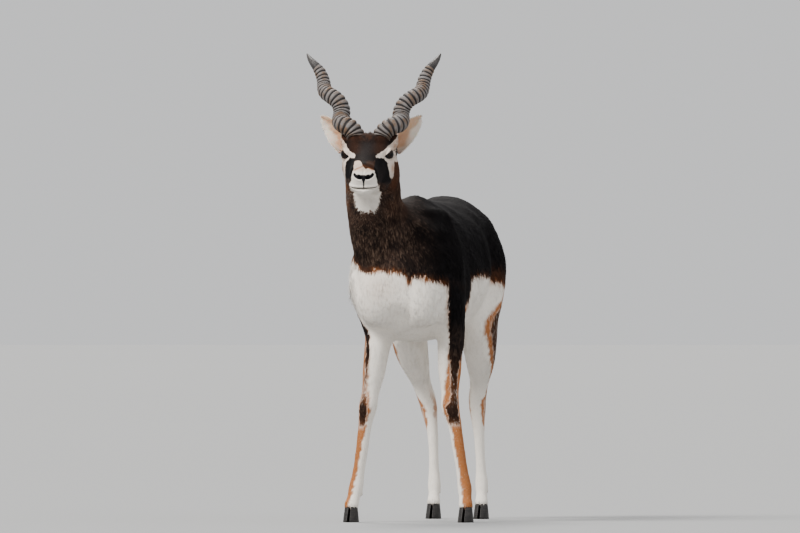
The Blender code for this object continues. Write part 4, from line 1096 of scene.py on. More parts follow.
def coatForm(points, normals, marks, onTail):
    # length and breadth of a hair tuft, how far it stands off, and how closely tufts are set, at each place
    x, y, z = points.T
    local = inHead(points)
    ahead = -local[:, 1]
    onHead = ramp(past(points, "head"), -0.02, 0.01)
    length, wide, lift, close = (np.full(len(points), value) for value in (*coat["bodyHair"], 1.0))
    ridge = ramp(normals[:, 2], 0.55, 0.90) * ramp(z, 0.70, 0.75)
    length -= 0.004 * ridge
    lift -= 0.03 * ridge
    # loose hair on the right shoulder
    shoulder = ramp(-x, 0.095, 0.14) * hump(y + 0.21, 0.07) * hump(z - 0.555, 0.075)
    length += 0.012 * shoulder
    lift += 0.40 * shoulder
    throat = (1 - ramp(past(points, "body"), -0.03, 0.09)) * (1 - onHead)
    wide -= 0.00035 * throat
    close += 0.45 * throat
    down = 1 - ramp(z, 0.22, 0.46)
    legLength, legWide, legLift = coat["legHair"]
    length = length * (1 - down) + down * (legLength + 0.0050 * ramp(z, 0.22, 0.36))
    wide = wide * (1 - down) + down * legWide
    close = close + 0.9 * down
    lift = lift * (1 - down) + down * legLift
    elbow = hump(z - 0.440, 0.05) * ramp(y, -0.19, -0.12) * (y < 0) * (z < 0.52)
    length += 0.002 * elbow
    headLength, headWide, headLift = coat["headHair"]
    headLength = headLength + 0.0030 * ramp(np.abs(local[:, 0]), 0.030, 0.055) * ramp(-ahead, -0.06, 0.02)
    headLength += 0.0030 * ramp(-local[:, 2], 0.030, 0.060)
    tuft = hump(local[:, 0], 0.030) * ramp(local[:, 2], 0.024, 0.038)
    tuft = tuft * ramp(ahead, -0.075, -0.050) * ramp(-ahead, -0.022, 0.004)
    headLength += 0.0060 * tuft
    nearEye = 1 - ramp(toEye(local), 0.019, 0.030)
    headLength = headLength * (1 - 0.50 * nearEye)
    nose = ramp(ahead, 0.070, 0.115)
    headLength = headLength * (1 - 0.45 * nose)
    length = length * (1 - onHead) + headLength * onHead
    headWide = headWide + 0.00030 * tuft - 0.00013 * nose - 0.00008 * nearEye
    wide = wide * (1 - onHead) + headWide * onHead
    lift = lift * (1 - onHead) + (headLift + 0.34 * tuft) * onHead
    close = close * (1 - onHead) + (4.3 + 2.2 * nose + 1.0 * nearEye - 1.0 * tuft) * onHead
    close = close * (1 - ramp(marks["bare"], 0.25, 0.6))
    calm = (1 - marks["dark"]) * (1 - onHead) * (1 - shoulder)  # the white coat is short and smooth
    length = length * (1 - 0.32 * calm)
    wide = wide * (1 - 0.30 * calm)
    lift = lift * (1 - 0.70 * calm)
    stray = (1 - 0.45 * calm) * (1 - 0.4 * down) * (1 + 0.3 * shoulder)
    hem = 1 - ramp(z, 0.040, 0.052)  # hair hangs over the top of the hooves
    length += 0.005 * hem
    length = np.where(onTail, 0.026, length)
    lift = np.where(onTail, 0.20, lift)
    close = np.where(onTail, 1.6, close) * (z > 0.030)
    return {"hairLength": length, "hairWidth": wide, "hairLift": lift, "hairClose": close, "hairStray": stray}


def dressSkin():
    mesh = skin.data
    points, normals = coordinates(mesh), normalsOf(mesh)
    onTail = np.arange(len(points)) >= bodyCount
    marks = coatMarks(points, normals, onTail)
    for name, values in {**marks, **coatForm(points, normals, marks, onTail)}.items():
        store(mesh, name, values)
    store(mesh, "lie", lieOfCoat(points, normals), "FLOAT_VECTOR")
    store(mesh, "tract", tractOf(points, onTail))
    mesh.uv_layers.new(name="OFBake")
    bpy.context.view_layer.objects.active = skin
    skin.select_set(True)
    bpy.ops.object.mode_set(mode="EDIT")
    bpy.ops.mesh.select_all(action="SELECT")
    bpy.ops.uv.smart_project(angle_limit=math.radians(66), island_margin=0.002)
    bpy.ops.object.mode_set(mode="OBJECT")
    skin.select_set(False)


coatColours = {
    "black": (0.0070, 0.0055, 0.0062, 1),
    "brown": (0.088, 0.054, 0.040, 1),
    "pale": (0.27, 0.195, 0.145, 1),
    "white": (0.80, 0.765, 0.710, 1),
    "cream": (0.72, 0.640, 0.545, 1),
    "rust": (0.36, 0.135, 0.040, 1),
    "redBrown": (0.105, 0.042, 0.020, 1),
    "bareSkin": (0.010, 0.0095, 0.012, 1),
    "barePale": (0.034, 0.032, 0.037, 1),
}


def coatColour(wire, tip, shade):
    # tip is 0 at a hair's root and 1 at its end, shade is each tuft's own random value
    dark, rust, grizzle = (wire.attribute(name) for name in ("dark", "rust", "grizzle"))
    browner = (grizzle * (0.20 + shade * 0.95)).clamped().mixed(coatColours["black"], coatColours["brown"])
    paleTip = (grizzle * shade.step(0.55, 0.92) * tip.step(0.2, 0.85) * 0.9).clamped()
    darkHair = paleTip.mixed(browner, coatColours["pale"])
    redder = dark.step(0.35, 0.95).mixed(coatColours["rust"], coatColours["redBrown"])
    paleHair = (shade * 0.45).clamped().mixed(coatColours["white"], coatColours["cream"])
    plain = (dark + (shade - 0.5) * 0.4).step(0.32, 0.68).mixed(paleHair, darkHair)
    return (rust * (0.70 + shade * 0.5)).clamped().mixed(plain, redder)


def hideFinish(wire, shader):
    place = wire.place()
    streaks = place.vector("MULTIPLY", (900.0, 520.0, 190.0)).noise(1.0, 2.0)
    pores = wire.node("ShaderNodeTexVoronoi", sockets={0: place, "Scale": 620.0})
    bare = wire.attribute("bare")
    hair = coatColour(wire, streaks * 0.6, 0.30 + streaks * 0.40)
    skinColour = (pores * 0.5).clamped().mixed(coatColours["bareSkin"], coatColours["barePale"])
    feed(wire, shader, "Base Color", bare.step(0.35, 0.65).mixed(hair, skinColour))
    feed(wire, shader, "Roughness", 0.88 - bare.step(0.4, 0.7) * 0.48)
    height = streaks * (1 - bare) + pores * bare * 0.5
    feed(wire, shader, "Normal", height.bump(0.55, 0.0012))


def hairFinish(wire, shader):
    tip = wire.attribute("tip")
    colour = coatColour(wire, tip, wire.attribute("shade"))
    # painted shade: each hair is darker at its root, deep in the coat, and a little lighter at its tip
    depth = 0.92 + tip * 0.10
    rootShade = wire.node("ShaderNodeCombineColor", sockets={0: depth, 1: depth, 2: depth})
    multiply = {"data_type": "RGBA", "blend_type": "MULTIPLY"}
    feed(wire, shader, "Base Color", wire.node("ShaderNodeMix", multiply, {0: 1.0, 6: colour, 7: rootShade}, 2))


dressSkin()
hide = finish("hide", hideFinish, 0.88, Specular_IOR_Level=0.20)
hairCoat = finish("hair coat", hairFinish, 0.70, Specular_IOR_Level=0.13)
skin.data.materials.clear()
skin.data.materials.append(hide)
print("markings laid on the skin")

# coat of hair tufts
tuftSection = ((0.15, 0, 0), (-0.05, 0.5, 0), (-0.05, -0.5, 0))
patchSection = ((0, 0.06), (0.12, 0), (-0.12, 0))


def tuftShape(name, hairs, seed):
    # x stands off the hide, y is across, z runs along the hair, each in its own scale
    dice = random.Random(seed)
    bm = bmesh.new()
    tips, patches = [], []
    for k in range(hairs):
        across = (k - (hairs - 1) / 2) * 1.15 + dice.uniform(-0.3, 0.3)
        lean, long = across * 0.55 + dice.uniform(-0.9, 0.9), dice.uniform(0.78, 1.0)
        bend = dice.uniform(0.3, 0.9)
        rings = []
        for z, girth in ((-0.04, 0.75), (0.45, 1.0)):
            middle = Vector((-bend * z * z, across + lean * z, z * long))
            rings.append([bm.verts.new(middle + Vector(corner) * girth) for corner in tuftSection])
            tips += [z] * 3
            patches += [(across / 5 + u, z * 0.8 - 0.4 + v) for u, v in patchSection]
        end = bm.verts.new((-bend, across + lean, long))
        tips.append(1.0)
        patches.append((across / 5, 0.45))
        for j in range(3):
            bm.faces.new((rings[0][j], rings[0][(j + 1) % 3], rings[1][(j + 1) % 3], rings[1][j]))
            bm.faces.new((rings[1][j], rings[1][(j + 1) % 3], end))
        bm.faces.new(rings[0])
    bmesh.ops.recalc_face_normals(bm, faces=bm.faces)
    bmesh.ops.triangulate(bm, faces=bm.faces)
    mesh = bpy.data.meshes.new(name)
    bm.to_mesh(mesh)
    bm.free()
    mesh.shade_smooth()
    store(mesh, "tip", np.clip(tips, 0, 1))
    store(mesh, "patch", [(u, v, 0) for u, v in patches], "FLOAT_VECTOR")
    return bpy.data.objects.new(name, mesh)


def tuftSet(name, hairs):
    group = bpy.data.collections.new(name)
    for k in range(4):
        group.objects.link(tuftShape(f"{name}{k}", hairs, k + 20))
    return group


def laidAlong(way, off):  # turns an instance's Z along a way and its X to the side that off points to
    turned = way.node("FunctionNodeAlignRotationToVector", {"axis": "Z"}, {2: way})
    acrossIt = {"axis": "X", "pivot_axis": "Z"}
    return way.node("FunctionNodeAlignRotationToVector", acrossIt, {0: turned, 2: off})


def coatTree():
    given = {
        "Geometry": "Geometry", "Tufts": "Collection", "Tract": "Float", "Density": "Float",
        "Spread": "Float", "Length varies": "Float", "Length": "Float", "Seed": "Int", "Finish": "Material",
    }
    wire, ask = newTree("tufts over a surface", given)
    same = {"data_type": "FLOAT", "operation": "EQUAL"}
    here = wire.node("FunctionNodeCompare", same, {0: wire.field("tract"), 1: ask["Tract"], 12: 0.49})
    scattered = wire.tree.nodes.new("GeometryNodeDistributePointsOnFaces")
    fed = {0: ask["Geometry"], 1: here, 4: ask["Density"] * wire.field("hairClose"), 6: ask["Seed"]}
    for key, value in fed.items():
        wire.tree.links.new(value.socket, scattered.inputs[key])
    points, normal = Wire(wire.tree, scattered.outputs[0]), Wire(wire.tree, scattered.outputs[1])
    points = points.kept("rootSpot", wire.field("OFBake", "FLOAT_VECTOR"), "FLOAT_VECTOR")
    points = points.kept("off", normal, "FLOAT_VECTOR")
    normal = wire.field("off", "FLOAT_VECTOR")

    def chance(low, high, seed):
        return wire.node("FunctionNodeRandomValue", {"data_type": "FLOAT"}, {2: low, 3: high, 8: seed}, 1)

    stray = wire.node("ShaderNodeCombineXYZ", sockets={k: chance(-1.0, 1.0, 31 + k) for k in range(3)})
    risen = stray.vector("DOT_PRODUCT", normal, out=1) * 0.85  # they stray sideways more than they rise
    stray = stray.vector("SUBTRACT", normal.vector("SCALE", by=risen))
    rise = normal.vector("SCALE", by=wire.field("hairLift") * chance(0.5, 1.5, 41))
    grow = wire.field("lie", "FLOAT_VECTOR").vector("ADD", rise)
    grow = grow.vector("ADD", stray.vector("SCALE", by=ask["Spread"] * wire.field("hairStray")))
    long = wire.field("hairLength") * ask["Length"] * (1 + ask["Length varies"] * chance(-1.0, 1.0, 42))
    wide = wire.field("hairWidth") * chance(0.75, 1.3, 43)
    scale = wire.node("ShaderNodeCombineXYZ", sockets={0: wide, 1: wide, 2: long})
    children = wire.node("GeometryNodeCollectionInfo", sockets={0: ask["Tufts"], 1: True, 2: True})
    which = wire.node("FunctionNodeRandomValue", {"data_type": "INT"}, {4: 0, 5: 3, 8: 44}, 2)
    put = {0: points, 2: children, 3: True, 4: which, 5: laidAlong(grow, normal), 6: scale}
    placed = wire.node("GeometryNodeInstanceOnPoints", sockets=put)
    placed = placed.kept("shade", chance(0.0, 1.0, 45), domain="INSTANCE")
    real = wire.node("GeometryNodeRealizeInstances", sockets={0: placed})
    patch = wire.field("patch", "FLOAT_VECTOR").vector("SCALE", by=coat["patchSize"])
    spot = wire.field("rootSpot", "FLOAT_VECTOR").vector("ADD", patch)
    return closeTree(real.kept("OFBake", spot, "FLOAT2", "CORNER"), ask["Finish"])


notKept = (  # what only the growing of the hair needs
    "lie", "off", "patch", "rootSpot", "tract", "bare",
    "hairLength", "hairWidth", "hairLift", "hairClose", "hairStray",
)


def grown(base, tree, name, **inputs):  # the tree run on the base object, as a plain mesh object
    modifier = base.modifiers.new(name, "NODES")
    modifier.node_group = tree
    for socket in tree.interface.items_tree:
        if socket.item_type == "SOCKET" and socket.in_out == "INPUT" and socket.name in inputs:
            modifier[socket.identifier] = inputs[socket.name]
    mesh = evaluated(base)
    base.modifiers.remove(modifier)
    # hair takes the light nearly as the hide under it does
    if "off" in mesh.attributes and "tip" in mesh.attributes:
        hideward = np.empty(len(mesh.vertices) * 3, np.float32)
        mesh.attributes["off"].data.foreach_get("vector", hideward)
        soft = unit(coat["soft"] * hideward.reshape(-1, 3) + (1 - coat["soft"]) * normalsOf(mesh))
        mesh.normals_split_custom_set_from_vertices(soft)
    for extra in notKept:
        if extra in mesh.attributes:
            mesh.attributes.remove(mesh.attributes[extra])
    mesh.name = name
    made = bpy.data.objects.new(name, mesh)
    bpy.context.scene.collection.objects.link(made)
    return made


tuftTree = coatTree()
bodyTufts = tuftSet("tuft", coat["hairsInTuft"])
share = {
    "head_left": 0.92, "head_right": 0.86, "neck_front": 2.6, "neck_back": 1.75,
    "shoulder_left": 1.15, "shoulder_right": 1.0, "barrel_left": 1.0, "barrel_right": 0.75,
    "rump_left": 0.95, "rump_right": 0.72, "forelegs": 0.80, "hindlegs": 0.72, "tail": 1.0,
}
pieces = []
for number, name in enumerate(tractNames):
    inputs = {
        "Tufts": bodyTufts, "Tract": float(number), "Density": coat["tuftsPerSquareMetre"] * share[name],
        "Spread": coat["spread"], "Length varies": coat["lengthVaries"], "Length": 1.0,
        "Seed": coat["seed"] + number, "Finish": hairCoat,
    }
    piece = grown(skin, tuftTree, "coat_" + name, **inputs)
    print(piece.name, len(piece.data.polygons), "triangles")
    pieces.append(piece)
print("coat so far,", sum(len(piece.data.polygons) for piece in pieces), "triangles")

# horns
horns = {
    "root": (0.031, 0.036, 0.043),
    "axis": (0.425, 0.760, 0.490),
    "length": 0.304,
    "sunk": 0.004,  # how far it goes on under the skin
    "radius": 0.0212,
    "coil": 0.0078,
    "flare": 0.0065,  # how far it leans out just above its root
    "bow": {"left": 0.009, "right": 0.0},  # how far it bows out at half its length
    "rings": 27.0,
    "ringedTo": 0.86,  # share of the length that carries rings
    "ringDepth": 0.0024,
    "stations": 330,
    "around": 30,
}


def hornTree():
    numbers = ("Length", "Radius", "Coil", "Flare", "Bow", "Rings", "Ringed to", "Ring depth")
    given = {
        "Geometry": "Geometry", **dict.fromkeys(("Root", "Axis", "Out", "Back"), "Vector"),
        **dict.fromkeys(numbers, "Float"), "Stations": "Int", "Around": "Int", "Finish": "Material",
    }
    wire, ask = newTree("ringed corkscrew horn", given)
    line = wire.node("GeometryNodeMeshLine", {"mode": "OFFSET"}, {0: ask["Stations"], 3: (0, 0, 0.001)})
    line = wire.node("GeometryNodeMeshToCurve", sockets={0: line})
    line = line.kept("along", wire.node("GeometryNodeInputIndex") / (ask["Stations"] - 1.0))
    s = wire.field("along")
    # rings lie closer towards the tip and fade out before it
    turns = ask["Rings"] * s * (1.10 - s * 0.116) / (ask["Ringed to"] * (1.10 - ask["Ringed to"] * 0.116))
    saw = wire.maths("FRACT", turns) * 2.0 - 1.0
    crest = 1 - wire.maths("POWER", wire.maths("ABSOLUTE", saw), 2.2)
    fade = 1 - s.step(horns["ringedTo"] - 0.07, horns["ringedTo"] + 0.01)
    line = line.kept("crest", crest * fade).kept("ringed", fade)
    angle = (1290.0 * s - 350.0 * s * s - 247.0) * math.radians(1)
    fourth = s * s * s * s
    coil = ask["Coil"] * (1 - fourth)
    bell = (s - 0.13) / 0.14
    flare = ask["Flare"] * wire.maths("EXPONENT", bell * bell * -1.0)
    flare = flare + ask["Bow"] * wire.maths("SINE", s * math.pi)
    middle = ask["Root"].vector("ADD", ask["Axis"].vector("SCALE", by=ask["Length"] * s))
    outward = ask["Out"].vector("SCALE", by=wire.maths("COSINE", angle) * coil + flare)
    swing = outward.vector("ADD", ask["Back"].vector("SCALE", by=wire.maths("SINE", angle) * coil))
    line = wire.node("GeometryNodeSetPosition", sockets={0: line, 2: middle.vector("ADD", swing)})
    thick = ask["Radius"] * (1 - 0.28 * s - 0.63 * fourth * s)
    thick = thick + ask["Ring depth"] * (1 - 0.45 * s) * fade * (wire.field("crest") * 1.7 - 1.0)
    section = wire.node("GeometryNodeCurvePrimitiveCircle", {"mode": "RADIUS"}, {0: ask["Around"], 4: 1.0})
    tube = wire.node("GeometryNodeCurveToMesh", sockets={0: line, 1: section, 2: thick, 3: True})
    place, normal = wire.node("GeometryNodeInputPosition"), wire.node("GeometryNodeInputNormal")
    ringed = wire.field("ringed")
    lumps = normal.vector("SCALE", by=(place.noise(95.0, 2.0) - 0.5) * 0.0022 * ringed)
    slant = ask["Axis"].vector("SCALE", by=(place.noise(34.0, 1.0) - 0.5) * 0.0075 * ringed)
    tube = wire.node("GeometryNodeSetPosition", sockets={0: tube, 3: lumps.vector("ADD", slant)})
    tube = wire.node("GeometryNodeSetShadeSmooth", sockets={0: tube})
    return closeTree(wire.node("GeometryNodeRealizeInstances", sockets={0: tube}), ask["Finish"])


def hornFinish(wire, shader):
    s, crest, ringed = (wire.attribute(name) for name in ("along", "crest", "ringed"))
    place = wire.place()
    fibres = place.noise(260.0, 4.0, Roughness=0.7)
    cloud = place.noise(42.0, 3.0)
    # painted light: the rings' crests are painted pale grey as highlight and the grooves near black as
    # painted shade, broken up by fibre noise
    wearAndPaintedLight = (crest.step(0.30, 0.95) + fibres * 0.7 - 0.42).clamped()
    ridge = cloud.step(0.40, 0.66).mixed((0.212, 0.196, 0.190, 1), (0.178, 0.115, 0.074, 1))
    ringedPart = wearAndPaintedLight.mixed((0.016, 0.014, 0.015, 1), ridge)
    tip = fibres.step(0.3, 0.75).mixed((0.038, 0.034, 0.033, 1), (0.105, 0.098, 0.094, 1))
    low = (1 - s.step(0.0, 0.14)) * 0.30
    colour = ringed.mixed(tip, ringedPart)
    feed(wire, shader, "Base Color", low.mixed(colour, (0.090, 0.060, 0.042, 1)))
    feed(wire, shader, "Roughness", 0.52 + fibres * 0.25 - (1 - ringed) * 0.12)
    grooves = place.vector("MULTIPLY", (600.0, 600.0, 130.0)).noise(1.0, 3.0)
    feed(wire, shader, "Normal", (grooves + fibres * 0.6).bump(0.5, 0.0008))


def makeHorn(side, tree, surface):
    sign = sides[side]
    axis = toSide(sign, horns["axis"]).normalized()
    out = (Vector((sign, 0, 0)) - axis * axis.x * sign).normalized()
    seed = bpy.data.objects.new("seed", bpy.data.meshes.new("seed"))
    bpy.context.scene.collection.objects.link(seed)
    inputs = {
        "Root": toSide(sign, horns["root"]) - axis * horns["sunk"],
        "Axis": axis, "Out": out, "Back": axis.cross(out) * sign,
        "Length": horns["length"] + horns["sunk"], "Bow": horns["bow"][side],
        "Ringed to": horns["ringedTo"], "Ring depth": horns["ringDepth"], "Finish": surface,
    }
    for key in ("radius", "coil", "flare", "rings", "stations", "around"):
        inputs[key.capitalize()] = horns[key]
    made = grown(seed, tree, "hornshape_" + side, **inputs)
    bpy.data.objects.remove(seed)
    bm = bmesh.new()
    bm.from_mesh(made.data)
    bmesh.ops.remove_doubles(bm, verts=bm.verts, dist=1e-6)
    bmesh.ops.recalc_face_normals(bm, faces=bm.faces)
    bm.to_mesh(made.data)
    bm.free()
    made.data.transform(headFrame)
    return made


hornNodes = hornTree()
hornSurface = finish("horn", hornFinish, 0.6)
hornPieces = {side: makeHorn(side, hornNodes, hornSurface) for side in sides}
print("horns made,", [len(piece.data.polygons) for piece in hornPieces.values()], "faces")

# ears
ears = {
    "root": (0.054, 0.090, 0.000),
    "aim": (0.58, 0.54, 0.59),
    "facing": (0.42, -0.86, 0.10),
    "length": 0.112,
    "width": 0.046,
    "thickness": (0.0034, 0.0009),  # at the root and at the rim
    "outline": [  # share of the length and of the width
        (0.0, 0.66), (0.12, 0.74), (0.26, 0.84), (0.42, 0.97), (0.56, 1.0), (0.70, 0.90), (0.82, 0.68),
        (0.91, 0.44), (0.97, 0.22), (1.0, 0.06),
    ],
    "rolls": (250, 100),  # how far the leaf is rolled round at the root and at the tip, in degrees
    "columns": 26,
    "rows": 44,
    "tract": 20.0,  # number of the ears' hair, apart from the body's tracts
    "tuftsPerSquareMetre": 62000.0,
    "seed": 60,
}


def earAxes(sign):
    along = toSide(sign, ears["aim"]).normalized()
    facing = toSide(sign, ears["facing"])
    facing = (facing - along * facing.dot(along)).normalized()
    return along, facing, along.cross(facing)


def earLeaf(sign):  # middle of the ear's wall, the way through it into the cup, and the way to the tip
    along, facing, wide = earAxes(sign)
    root = toSide(sign, ears["root"])
    rows, columns = ears["rows"], ears["columns"]
    (rootRoll, tipRoll), (rootThick, rimThick) = ears["rolls"], ears["thickness"]
    grid = np.zeros((rows + 1, columns + 1, 3))
    for i in range(rows + 1):
        s = 1 - (1 - i / rows) ** 1.15
        width = ears["width"] * float(np.interp(s, *zip(*ears["outline"])))
        roll = math.radians(rootRoll - (rootRoll - tipRoll) * float(ramp(np.array(s), 0.0, 0.75)))
        radius = width / (2 * math.sin(min(roll / 2, math.pi / 2)))
        for j in range(columns + 1):
            a = roll * (j / columns - 0.5)
            place = root + along * (ears["length"] * s) + wide * (radius * math.sin(a))
            place += facing * (radius * (1 - math.cos(a)) - 0.010 * math.sin(math.pi * s))
            grid[i, j] = headFrame @ place
    grid += 0.0006 * wander(grid.reshape(-1, 3), 0.02, 9).reshape(rows + 1, columns + 1, 1)
    down, over = np.gradient(grid, axis=0), np.gradient(grid, axis=1)
    normal = unit(np.cross(over, down))  # towards the cup's inside
    if np.mean(normal @ np.array((headFrame.to_3x3() @ facing))) < 0:
        normal = -normal
    rim = np.minimum(np.minimum(np.arange(columns + 1), columns - np.arange(columns + 1)) / 4, 1)[None, :]
    tipward = np.minimum((rows - np.arange(rows + 1)) / 5, 1)[:, None]
    thick = (rimThick + (rootThick - rimThick) * np.minimum(rim, tipward))[..., None]
    return grid, normal * thick, down


def makeEar(side):
    sign = sides[side]
    rows, columns = ears["rows"], ears["columns"]
    grid, wallWay, down = earLeaf(sign)
    bm = bmesh.new()
    walls, marks = [], []
    for inside in (1, 0):
        shift = wallWay * (0.5 if inside else -0.5)
        walls.append([[bm.verts.new(p) for p in line] for line in grid + shift])
        for i in range(rows + 1):
            for j in range(columns + 1):
                marks.append((inside, i / rows, sign * (2 * j / columns - 1), *unit(down[i, j])))
    for wall, flip in zip(walls, (False, True)):
        for i in range(rows):
            for j in range(columns):
                loop = (wall[i][j], wall[i][j + 1], wall[i + 1][j + 1], wall[i + 1][j])
                bm.faces.new(loop[::-1] if flip else loop)
    edge = [(0, j) for j in range(columns)] + [(i, columns) for i in range(rows)]
    edge += [(rows, j) for j in range(columns, 0, -1)] + [(i, 0) for i in range(rows, 0, -1)]
    for (i, j), (k, m) in zip(edge, edge[1:] + edge[:1]):
        bm.faces.new((walls[0][i][j], walls[1][i][j], walls[1][k][m], walls[0][k][m]))
    made = newObject("earskin_" + side, bm)
    made.data.shade_smooth()
    markEar(made.data, marks, sign)
    made.data.materials.append(earSkin)
    return made


def markEar(mesh, marks, sign):  # what hide, hair and texture need at each point of an ear
    inside, s, across, *run = np.array(marks).T
    count = len(inside)
    points = coordinates(mesh)
    jitter = 0.16 * wander(points, 0.03, 4)
    # the tan of the cup's upper, inner half is partly skin showing through and partly painted shade
    upper = ramp(-across + jitter, -0.66, -0.18)  # the upper, inner half of the cup is tan
    rimward = ramp(np.abs(across), 0.80, 0.97) * inside
    rust = np.where(inside > 0, upper * (1 - 0.8 * rimward) * (0.66 - 0.12 * ramp(s, 0.40, 0.90)), 0.40)
    rimHair = ramp(np.abs(across), 0.70, 0.95)
    cupHair = 0.0062 + 0.0022 * ramp(np.abs(across), 0.5, 0.95) - 0.002 * s
    wide = headFrame.to_3x3() @ earAxes(sign)[2]
    lie = np.stack(run, axis=1) + 0.45 * across[:, None] * np.array(wide) * sign
    for name, values in {
        "dark": np.where(inside > 0, 0.0, 0.06),
        "rust": rust,
        "grizzle": np.full(count, 0.3),
        "bare": np.zeros(count),
        "inside": inside,
        # cup: bare skin showing deep in the middle of the cup near its root, darker partly as painted shade
        "cup": inside * (1 - np.abs(across)) * ramp(0.75 - s, 0, 0.5),
        "hairLength": np.where(inside > 0, cupHair, 0.0042),
        "hairWidth": np.full(count, 0.00042),
        "hairLift": np.full(count, 0.07),
        "hairClose": np.where(inside > 0, 0.35 + 2.0 * rimHair + 0.9 * ramp(across, 0, 0.4), 0.9),
        "hairStray": np.full(count, 1.0),
        "tract": np.full(count, ears["tract"]),
    }.items():
        store(mesh, name, values)
    store(mesh, "lie", unit(lie), "FLOAT_VECTOR")
    layer = mesh.uv_layers.new(name="OFBake")
    corners = np.empty(len(mesh.loops), int)
    mesh.loops.foreach_get("vertex_index", corners)
    u = 0.25 + 0.22 * across + 0.5 * (1 - inside)
    layer.data.foreach_set("uv", np.stack([u, 0.02 + 0.96 * s], axis=1)[corners].astype(np.float32).ravel())


def earFinish(wire, shader):
    mottle = wire.place().noise(160.0, 4.0)
    tan = (wire.attribute("rust") * (1.0 + mottle * 0.5)).clamped()
    hair = tan.mixed((0.74, 0.68, 0.60, 1), (0.50, 0.285, 0.150, 1))
    # the cup's bare skin colour, partly real and partly painted shade
    cupSkinAndShade = mottle.mixed((0.36, 0.18, 0.11, 1), (0.48, 0.29, 0.19, 1))
    feed(wire, shader, "Base Color", (wire.attribute("cup") * 0.75).clamped().mixed(hair, cupSkinAndShade))
    feed(wire, shader, "Normal", mottle.bump(0.35, 0.0006))


earSkin = finish("ear skin", earFinish, 0.75, Subsurface_Weight=0.12, Subsurface_Scale=0.004)
earPieces = {side: makeEar(side) for side in sides}
for number, (side, base) in enumerate(earPieces.items()):
    inputs = {
        "Tufts": bodyTufts, "Tract": ears["tract"], "Density": ears["tuftsPerSquareMetre"], "Spread": 0.22,
        "Length varies": 0.35, "Length": 1.0, "Seed": ears["seed"] + number, "Finish": hairCoat,
    }
    piece = grown(base, tuftTree, "coat_ear_" + side, **inputs)
    for extra in ("inside", "cup"):
        piece.data.attributes.remove(piece.data.attributes[extra])
    pieces.append(piece)
    print(piece.name, len(piece.data.polygons), "triangles")

# eyes and lashes
eyes = {
    "irisShare": 0.74,
    "pupil": (0.40, 0.22),
    "bulge": 0.0010,
    "lashes": 24,
    "lashLength": 0.0085,
    "lashWidth": 0.00048,
}


def eyeAxes(sign):
    return [toSide(sign, way) for way in lookAxes()]


def makeEye(side):
    sign = sides[side]
    look, along, rise = eyeAxes(sign)
    bm = bmesh.new()
    bmesh.ops.create_uvsphere(bm, u_segments=64, v_segments=48, radius=1)
    marks = []
    for vert in bm.verts:
        x, y, z = vert.co
        ahead = max(0.0, z)
        radius = eye["radius"] + eyes["bulge"] * ahead**6 - 0.0004
        marks.append((x, y, z))
        vert.co = headFrame @ (eyeCentre(sign) + (along * x + rise * y + look * z) * radius)
    made = newObject("eyeball_" + side, bm)
    made.data.shade_smooth()
    for name, values in zip(("eyeAcross", "eyeUp", "eyeOut"), np.array(marks).T):
        store(made.data, name, values)
    return made


def eyeFinish(wire, shader):
    across, up, out = (wire.attribute(name) for name in ("eyeAcross", "eyeUp", "eyeOut"))
    away = wire.maths("SQRT", across * across + up * up)
    rays = wire.place().noise(420.0, 3.0)
    slot = wire.maths("SQRT", (across / eyes["pupil"][0]) ** 2.0 + (up / eyes["pupil"][1]) ** 2.0)
    paler = (rays * 0.9 + away * 0.4 - 0.2).clamped()
    iris = paler.mixed((0.010, 0.0055, 0.004, 1), (0.036, 0.017, 0.009, 1))
    iris = slot.step(0.86, 1.05).mixed((0.0025, 0.002, 0.002, 1), iris)
    white = rays.mixed((0.022, 0.016, 0.014, 1), (0.050, 0.038, 0.032, 1))
    ring = away.step(eyes["irisShare"] - 0.08, eyes["irisShare"]).mixed(iris, (0.006, 0.004, 0.004, 1))
    outer = away.step(eyes["irisShare"] + 0.08, eyes["irisShare"] + 0.16)
    feed(wire, shader, "Base Color", outer.mixed(ring, white))


def lashShape():
    group = bpy.data.collections.new("lash")
    bm = bmesh.new()
    rings = []
    for z in (0.0, 0.3, 0.6, 0.85):
        girth = 0.5 * (1 - 0.75 * z)
        corners = [(girth * math.cos(a), girth * math.sin(a)) for a in (0, 2.09, 4.19)]
        rings.append([bm.verts.new((4.5 * z * z + x, y, z)) for x, y in corners])
    for first, second in zip(rings, rings[1:]):
        for k in range(3):
            bm.faces.new((first[k], first[(k + 1) % 3], second[(k + 1) % 3], second[k]))
    end = bm.verts.new((4.7, 0, 1))
    for k in range(3):
        bm.faces.new((rings[-1][k], rings[-1][(k + 1) % 3], end))
    bm.faces.new(rings[0])
    bmesh.ops.recalc_face_normals(bm, faces=bm.faces)
    mesh = bpy.data.meshes.new("lash")
    bm.to_mesh(mesh)
    bm.free()
    mesh.shade_smooth()
    group.objects.link(bpy.data.objects.new("lash", mesh))
    return group


def rowTree():
    given = {
        "Geometry": "Geometry", "Hair": "Collection", "Length": "Float", "Width": "Float", "Varies": "Float",
        "Seed": "Int", "Finish": "Material",
    }
    wire, ask = newTree("hairs in a row", given)
    turned = laidAlong(wire.field("lie", "FLOAT_VECTOR"), wire.field("off", "FLOAT_VECTOR"))
    either = {2: -1.0, 3: 1.0, 8: ask["Seed"]}
    chance = wire.node("FunctionNodeRandomValue", {"data_type": "FLOAT"}, either, 1)
    long = ask["Length"] * wire.field("size") * (1 + ask["Varies"] * chance)
    scale = wire.node("ShaderNodeCombineXYZ", sockets={0: ask["Width"], 1: ask["Width"], 2: long})
    children = wire.node("GeometryNodeCollectionInfo", sockets={0: ask["Hair"], 1: True, 2: True})
    put = {0: ask["Geometry"], 2: children, 3: True, 5: turned, 6: scale}
    placed = wire.node("GeometryNodeInstanceOnPoints", sockets=put)
    return closeTree(wire.node("GeometryNodeRealizeInstances", sockets={0: placed}), ask["Finish"])


